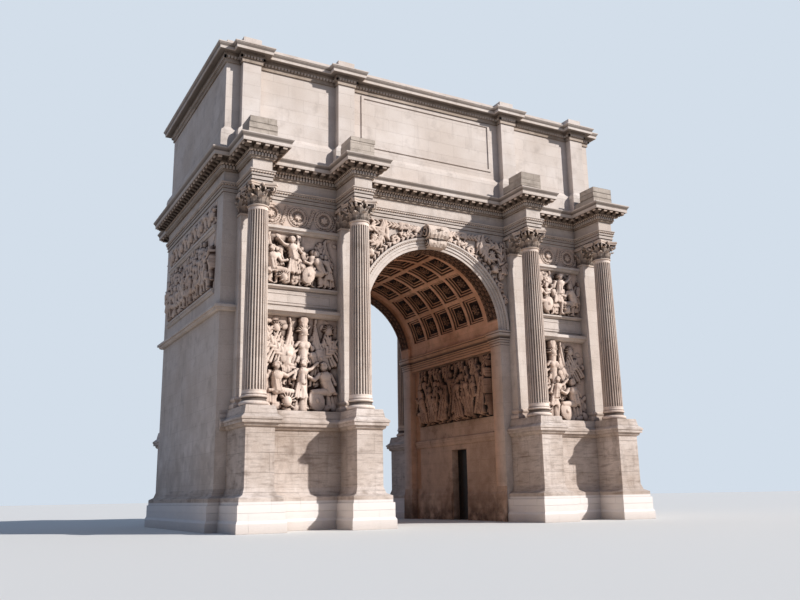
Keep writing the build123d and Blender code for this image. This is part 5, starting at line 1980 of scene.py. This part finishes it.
@dataclass
class CarvedPanels(SubAssembly):
    """Every carved panel. The motifs are generic: trophies, wreaths, leafy scrolls and draped figures."""

    fine: float = 0.023
    coarse: float = 0.045
    bay_left: float = 4.283
    bay_width: float = 3.182
    raised: float = 0.012
    flank_divide: tuple[float, float] = (10.53, 10.77)
    spandrel_foot: float = 8.52
    spandrel_near: float = 0.45
    spandrel_size: tuple[float, float] = (3.11, 3.15)
    sunk: float = -0.02

    def build(self) -> None:
        """Builds the panels of each storey."""
        self.in_bays("trophy_reliefs", "lower_reliefs", self.lower_relief, (11, 12))
        self.in_bays("figure_reliefs", "upper_reliefs", self.upper_relief, (31, 32))
        self.in_bays("wreath_friezes", "roundel_friezes", self.roundels, (51, 51), 0.9, 0.75)
        self.flanks()
        self.passage()
        self.spandrels()

    def mesh_of(self, carving: Carving, place: Place) -> tuple[list, list]:
        """The carved face with a closed back.

        Args:
            carving: the heights.
            place: where the panel stands.

        Returns:
            Points and faces, turned to the panel's side of the arch.
        """
        rows, columns = carving.level.shape
        level = carving.level.copy()
        level[[0, -1], :] = level[:, [0, -1]] = carving.ground
        x, z = np.meshgrid(carving.across + place.left, carving.upright + place.foot)
        # The fourth column is the painted shade and sooty dirt in the carving's hollows.
        front = np.stack([x, -place.wall - level, z, carving.shade_and_soot()], axis=2).reshape(-1, 4)
        back = front.copy()
        back[:, 1] = -place.wall + 0.04
        index = np.arange(rows * columns).reshape(rows, columns)
        quads = np.stack([index[:-1, :-1], index[:-1, 1:], index[1:, 1:], index[1:, :-1]], axis=2)
        if carving.ground >= 0:
            rim = [*index[0, :], *index[1:, -1], *index[-1, -2::-1], *index[-2:0:-1, 0]]
            behind = [len(front) + corner for corner in range(len(rim))]
            faces = quads.reshape(-1, 4).tolist()
            for here in range(len(rim)):
                after = (here + 1) % len(rim)
                faces.append([rim[after], rim[here], behind[here], behind[after]])
            faces.append(behind[::-1])
            return moved((np.vstack([front, back[rim]]).tolist(), faces), place.facing.turn())
        shown = np.pad((level > carving.ground + 1e-4).ravel()[quads].any(axis=2), 1)
        kept = shown[1:-1, 1:-1]
        faces = [quads[kept], quads[kept][:, ::-1] + len(front)]
        sides = {(-1, 0): (0, 1), (0, 1): (1, 2), (1, 0): (2, 3), (0, -1): (3, 0)}
        for (down, aside), (one, two) in sides.items():
            open_side = kept & ~shown[1 + down : rows + down, 1 + aside : columns + aside]
            first, second = quads[open_side][:, one], quads[open_side][:, two]
            faces.append(np.stack([second, first, first + len(front), second + len(front)], axis=1))
        used, renumbered = np.unique(np.vstack(faces), return_inverse=True)
        points = np.vstack([front, back])[used]
        return moved((points.tolist(), renumbered.reshape(-1, 4).tolist()), place.facing.turn())

    def make(self, name: str, panels: Sequence, finish: Finish, *replaced: str) -> None:
        """Joins panels into one piece."""
        parts = [self.mesh_of(carving, place) for carving, place in panels]
        piece = new_mesh(name, *joined(parts), smooth=60, closed=False)
        self.shop.finish(piece, finish, *replaced)

    def in_bays(
        self,
        name: str,
        node: str,
        carve: Callable[[Carving, int], None],
        seeds: tuple[int, int],
        share: float = 1.0,
        shade_and_grime: float = 1.0,
    ) -> None:
        """Carves the same kind of panel in both bays of both facades.

        Args:
            name: the piece's name.
            node: the frame's piece that it replaces.
            carve: the method that carves one panel, given the panel and the number of its bay.
            seeds: the seed of each bay's panel.
            share: the cell size as a share of the usual one.
            shade_and_grime: how dark the painted shade in the hollows is, with their dirt.
        """
        foot, head = levels(node)
        panels = []
        for facing in (Facing.FRONT, Facing.BACK):
            cell = self.fine if facing is Facing.FRONT else self.coarse
            for bay, left in enumerate((-self.bay_left - self.bay_width, self.bay_left)):
                size = (self.bay_width, head - foot, cell * share)
                carving = Carving(*size, seeds[bay], self.raised, shade_and_grime=shade_and_grime)
                carve(carving, bay)
                panels.append((carving, Place(left, foot, self.plan.wall_y, facing)))
        self.make(name, panels, Finish.RELIEF, node)

    def lower_relief(self, carving: Carving, bay: int) -> None:
        """Trophies of arms on posts, with seated figures at their feet."""
        middle = self.bay_width * (0.44 if bay else 0.57)
        carving.trophy(middle, 0.16)
        for step in range(9):
            spot = (0.15 + 0.36 * step, 0.1 + 0.06 * (step % 3))
            carving.oval(spot, (0.16, 0.24, 0.16), 1.3 * step, 0.03)
        carving.figure((middle - 1.02, 0.12), 2.1, 0.16, 1, 0.5, True)
        carving.figure((middle + 0.98, 0.12), 2.15, 0.18, -1, 0.25, True)
        carving.figure((middle - 0.12, 0.1), 1.75, 0.24, 1, 0.8)
        carving.shield((middle + 0.5, 0.42), (0.4, 0.3), -0.35, 0.2)
        carving.helmet((middle - 0.62, 0.36), 0.2, 0.22, -1)
        carving.figure((middle + 0.45, 0.9), 1.5, 0.1, -1, 0.9)
        carving.figure((middle - 0.62, 0.95), 1.45, 0.1, 1, 0.9)
        carving.leaves([(middle - 1.45 + 0.02 * s, 1.5 + 0.17 * s) for s in range(10)], 0.17, 0.06)

    def upper_relief(self, carving: Carving, bay: int) -> None:
        """Groups of draped figures before standards and sprays of leaves."""
        for step in range(6):
            x, lean = 0.2 + 0.55 * step, 0.28 * (-1) ** step
            carving.banner((x, 0.7), (x + lean, 1.9 - 0.1 * (step % 3)), 0.5, 0.02)
            carving.leaves([(x + 0.35 - lean * 0.2 * s, 0.9 + 0.14 * s) for s in range(7)], 0.12, 0.05)
        carving.crowd(6, 1.35, 2, 0.15)
        people = ((0.55, 1.75, 1, 0.1, True), (1.35, 1.78, -1, 0.75, False), (2.45, 1.7, -1, 0.2, True))
        for x, tall, side, arm, seated in people:
            foot = (self.bay_width - x if bay else x, 0.03)
            carving.figure(foot, tall, 0.23, -side if bay else side, arm, seated)
        carving.shield((1.95 - 0.7 * bay, 0.42), (0.34, 0.25), 0.4, 0.24)
        carving.helmet((1.0 + 1.3 * bay, 0.24), 0.16, 0.24, 1)

    def roundels(self, carving: Carving, _bay: int) -> None:
        """Three wreaths round a rosette, with sprays of leaves between them."""
        tall = carving.height
        for step in range(3):
            middle = (self.bay_width * (step + 0.5) / 3, tall / 2)
            carving.ring(middle, tall * 0.43, 0.028, 0.02)
            carving.wreath(middle, tall * 0.32, 0.085, 0.03)
            carving.oval(middle, (0.13, 0.13, 0.06), 0.0, 0.02)
            for petal in range(6):
                turn = math.pi / 3 * petal
                carving.oval(round_spot(middle, 0.09, turn), (0.07, 0.035, 0.04), turn, 0.05)
        for x in (0.0, 1 / 3, 2 / 3, 1.0):
            for way in (-1, 1):
                stem = [(x * self.bay_width + 0.03 * s * way, tall / 2 + way * 0.09 * s) for s in range(5)]
                carving.leaves(stem, 0.08, 0.02)

    def flanks(self) -> None:
        """A long crowd of figures on each flank, with a row of arms over it."""
        low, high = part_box("flank_reliefs")
        half = high.y
        divide_foot, divide_head = self.flank_divide
        panels = []
        for facing, cell in ((Facing.LEFT, 0.032), (Facing.RIGHT, self.coarse * 1.2)):
            crowd = Carving(2 * half, divide_foot - low.z, cell, 71, self.raised, shade_and_grime=2.4)
            crowd.crowd(17, 1.45, 3, 0.18)
            panels.append((crowd, Place(-half, low.z, self.plan.half_x, facing)))
            arms = Carving(2 * half, high.z - divide_head, cell, 72, self.raised, shade_and_grime=2.4)
            for step in range(14):
                x, z = (step + 0.5) * 2 * half / 14, 0.45
                lean = 0.5 * (-1) ** step
                rise = 0.36 * lean * 2
                arms.limb((x - 0.3, z - rise), (x + 0.3, z + rise), (0.02, 0.02), (0.03, 0.05))
                if step % 3 == 0:
                    arms.shield((x, z), (0.34, 0.22), lean * 0.5, 0.02)
                elif step % 3 == 1:
                    arms.helmet((x, z - 0.05), 0.2, 0.04, 1)
                    arms.leaves([(x - 0.25 + 0.1 * s, 0.1 + 0.02 * s) for s in range(6)], 0.09, 0.02)
                else:
                    arms.cuirass((x, z + 0.05), 0.27, 0.06)
            panels.append((arms, Place(-half, divide_head, self.plan.half_x, facing)))
        self.make("flank_crowds", panels, Finish.RELIEF, "flank_reliefs")

    def passage(self) -> None:
        """A crowd of figures on each passage wall, with banners behind it and spears and cloaks before it."""
        low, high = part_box("passage_reliefs")
        panels = []
        for facing, cell in ((Facing.LEFT, 0.03), (Facing.RIGHT, self.coarse)):
            crowd = Carving(2 * high.y, high.z - low.z, cell, 91, self.raised, shade_and_grime=2.2)
            for step in range(11):
                x, lean = 0.3 + 0.55 * step, 0.4 * (-1) ** step
                crowd.banner((x, 1.3), (x + lean, 2.6 - 0.06 * (step % 3)), 0.55, 0.05)
                stem = [(x + 0.3 - 0.03 * s * (-1) ** step, 1.75 + 0.14 * s) for s in range(7)]
                crowd.leaves(stem, 0.15, 0.06)
            crowd.crowd(9, 1.95, 2, 0.2)
            for step in range(8):
                x, lean = 0.3 + 0.76 * step, 0.4 * (-1) ** (step // 2)
                crowd.limb((x - lean, 0.3 + 0.1 * (step % 4)), (x + lean, 2.3), (0.035, 0.03), (0.24, 0.28))
                cloak = ((x, 1.7), (x + 0.3, 1.65)), ((x + lean, 0.2), (x + lean + 0.6, 0.15))
                crowd.folds(*cloak, 7, 0.045, (0.26, 0.3))
            panels.append((crowd, Place(-high.y, low.z, -high.x, facing)))
        self.make("passage_crowds", panels, Finish.DARK_RELIEF, "passage_reliefs")

    def spandrels(self) -> None:
        """Leafy scrolls that wind round flowers, with banners, over each side of the arch."""
        panels = []
        foot, band = self.spandrel_foot, self.plan.arch_radius + ArchBand.width
        for facing in (Facing.FRONT, Facing.BACK):
            cell = self.fine if facing is Facing.FRONT else self.coarse
            for side in (-1, 1):
                left = self.spandrel_near if side > 0 else -self.spandrel_near - self.spandrel_size[0]
                carving = Carving(*self.spandrel_size, cell, 111 + side, self.sunk)
                self.spray(carving, side, left, foot)
                x, z = np.meshgrid(carving.across + left, carving.upright + foot)
                near = np.hypot(x, z - self.plan.springing) - band
                level = np.minimum(carving.level, 0.05 + near * 4)
                carving.level = np.where(near < 0.01, self.sunk, level)
                panels.append((carving, Place(left, foot, self.plan.wall_y, facing)))
        self.make("spandrel_scrolls", panels, Finish.RELIEF)

    def spray(self, carving: Carving, side: int, left: float, foot: float) -> None:
        """Raises one spandrel's scrolls.

        Args:
            carving: the panel.
            side: 1 for the right spandrel, -1 for the left one.
            left: the panel's left edge.
            foot: the panel's lower edge.
        """

        def spot(radius: float, degrees: float) -> tuple[float, float]:
            """A place on the panel, from the arch's middle."""
            turn = math.radians(90 - side * degrees)
            height = self.plan.springing + radius * math.sin(turn)
            return radius * math.cos(turn) - left, height - foot

        scrolls = ((3.78, 11, 0.22), (4.02, 20, 0.34), (3.72, 29, 0.22), (3.72, 60, 0.2), (3.7, 70, 0.15))
        for radius, degrees, size in scrolls:
            carving.scroll(spot(radius, degrees), size, side * math.radians(degrees + 120), side, 0.07)
        carving.leaves([spot(3.62 + 0.02 * (s % 2), 8 + 3.6 * s) for s in range(19)], 0.13, 0.04)
        carving.leaves([spot(3.82 / math.cos(math.radians(a)), a) for a in range(9, 38, 2)], 0.14, 0.05)
        carving.leaves([spot(3.44 / math.sin(math.radians(a)), a) for a in range(56, 44, -2)], 0.14, 0.05)
        carving.leaves([spot(3.95 + 0.09 * s, 33 - 0.4 * s) for s in range(12)], 0.17, 0.05)
        carving.leaves([spot(3.85 + 0.1 * s, 56 - 0.9 * s) for s in range(14)], 0.19, 0.05)
        for near, far in (((3.75, 50), (4.75, 51)), ((3.75, 33), (4.6, 31))):
            carving.banner(spot(*near), spot(*far), 0.5, 0.1)
        carving.scroll(spot(4.2, 41), 0.56, side * 2.4, -side, 0.12)
        carving.scroll(spot(4.93, 43), 0.24, side * 0.5, side, 0.1)
        carving.helmet(spot(3.86, 49), 0.16, 0.16, -side)


@dataclass
class Setting:
    """The pale floor, the soft lights and the camera at the photograph's angle."""

    camera_at: Point = (-16.518, -31.427, 1.038)
    yaw: float = 28.743
    pitch: float = 13.494
    roll: float = -1.041
    lens: float = 36.86
    floor_size: float = 900.0
    floor_seen: str = "#DAD8D4"
    floor_lighting: str = "#D6C4AF"
    floor_far_off: str = "#8F8983"
    paved_reach: tuple[float, float] = (13.0, 34.0)
    sky_seen: str = "#D3DEEA"
    sky_lighting: str = "#A3BEE8"
    sky_strength: float = 0.4
    key_strength: float = 4.7
    key_from: Point = (0.92, -1.0, 0.83)
    key_spread: float = 1.5
    key_colour: Point = (1.0, 0.975, 0.945)

    def build(self) -> None:
        """Makes the floor, the lights and the camera."""
        self.floor()
        self.lights()
        self.camera()

    def floor(self) -> None:
        """A plain pale floor."""
        half = self.floor_size / 2
        corners = [(-half, -half, 0), (half, -half, 0), (half, half, 0), (-half, half, 0)]
        floor = new_mesh("floor", corners, [[0, 1, 2, 3]])
        material = bpy.data.materials.new("plain_floor")
        material.use_nodes = True
        tree = material.node_tree
        shader = tree.nodes["Principled BSDF"]
        shader.inputs["Roughness"].default_value = 0.95
        place = add_node(tree, "ShaderNodeTexCoord").outputs["Object"]
        away = add_node(tree, "ShaderNodeVectorMath", {0: place}, operation="LENGTH").outputs["Value"]
        near, far = self.paved_reach
        limits = {"Value": away, "From Min": near, "From Max": far}
        far_off = add_node(tree, "ShaderNodeMapRange", limits, clamp=True)
        colours = {6: linear(self.floor_lighting), 7: linear(self.floor_far_off)}
        lighting = add_node(tree, "ShaderNodeMix", {0: far_off.outputs[0], **colours}, data_type="RGBA")
        colours = {6: lighting.outputs[2], 7: linear(self.floor_seen)}
        tint = add_node(tree, "ShaderNodeMix", {0: self.seen(tree), **colours}, data_type="RGBA")
        tree.links.new(tint.outputs[2], shader.inputs["Base Color"])
        floor.data.materials.append(material)

    def lights(self) -> None:
        """A soft key light from the front right and an even sky."""
        lamp = bpy.data.lights.new("key", "SUN")
        lamp.energy, lamp.angle = self.key_strength, math.radians(self.key_spread)
        lamp.color = self.key_colour
        key = bpy.data.objects.new("key", lamp)
        key.rotation_euler = Vector(self.key_from).to_track_quat("Z", "Y").to_euler()
        bpy.context.scene.collection.objects.link(key)
        world = bpy.data.worlds.new("studio")
        world.use_nodes = True
        tree = world.node_tree
        tree.nodes.clear()
        even = add_node(
            tree, "ShaderNodeBackground", {"Color": linear(self.sky_lighting), "Strength": self.sky_strength}
        )
        plain = add_node(tree, "ShaderNodeBackground", {"Color": linear(self.sky_seen), "Strength": 1.0})
        shaders = {0: self.seen(tree), 1: even.outputs[0], 2: plain.outputs[0]}
        both = add_node(tree, "ShaderNodeMixShader", shaders)
        add_node(tree, "ShaderNodeOutputWorld", {"Surface": both.outputs[0]})
        bpy.context.scene.world = world

    def seen(self, tree: bpy.types.NodeTree) -> bpy.types.NodeSocket:
        """One where the eye, a mirror or glass looks at the backdrop, and zero where it only gives light."""
        path = add_node(tree, "ShaderNodeLightPath").outputs
        most = path["Is Camera Ray"]
        for ray in ("Is Glossy Ray", "Is Transmission Ray"):
            pair = {0: most, 1: path[ray]}
            most = add_node(tree, "ShaderNodeMath", pair, operation="MAXIMUM").outputs[0]
        return most

    def camera(self) -> None:
        """The camera, from the view worked out of the photograph's straight edges."""
        yaw, pitch, roll = (math.radians(angle) for angle in (self.yaw, self.pitch, self.roll))
        ahead = Vector((math.sin(yaw) * math.cos(pitch), math.cos(yaw) * math.cos(pitch), math.sin(pitch)))
        right = Vector((math.cos(yaw), -math.sin(yaw), 0))
        up = right.cross(ahead)
        right, up = right * math.cos(roll) + up * math.sin(roll), up * math.cos(roll) - right * math.sin(roll)
        data = bpy.data.cameras.new("camera")
        data.sensor_width, data.lens, data.clip_end = 36.0, self.lens, 2000
        camera = bpy.data.objects.new("camera", data)
        turn = Matrix((right, up, -ahead)).transposed().to_4x4()
        camera.matrix_world = Matrix.Translation(self.camera_at) @ turn
        bpy.context.scene.collection.objects.link(camera)
        bpy.context.scene.camera = camera
        bpy.context.scene.view_settings.view_transform = "Standard"


def main() -> None:
    """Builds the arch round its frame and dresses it."""
    logging.basicConfig(level=logging.INFO, format="%(message)s")
    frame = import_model()
    palette = Palette()
    palette.dress_frame(frame)
    plan, shop = Plan(), Workshop(palette)
    sub_assemblies = (
        MainCornice, Architrave, AtticCornice, StatueBases, TabletFrames, Columns, PilasterHeads, ArchBand,
        CofferedVault, Imposts, Keystones, CarvedPanels,
    )
    for kind in sub_assemblies:
        kind(plan, shop).build()
        LOG.info("%s built", kind.__name__)
    Setting().build()


if __name__ == "__main__":
    main()
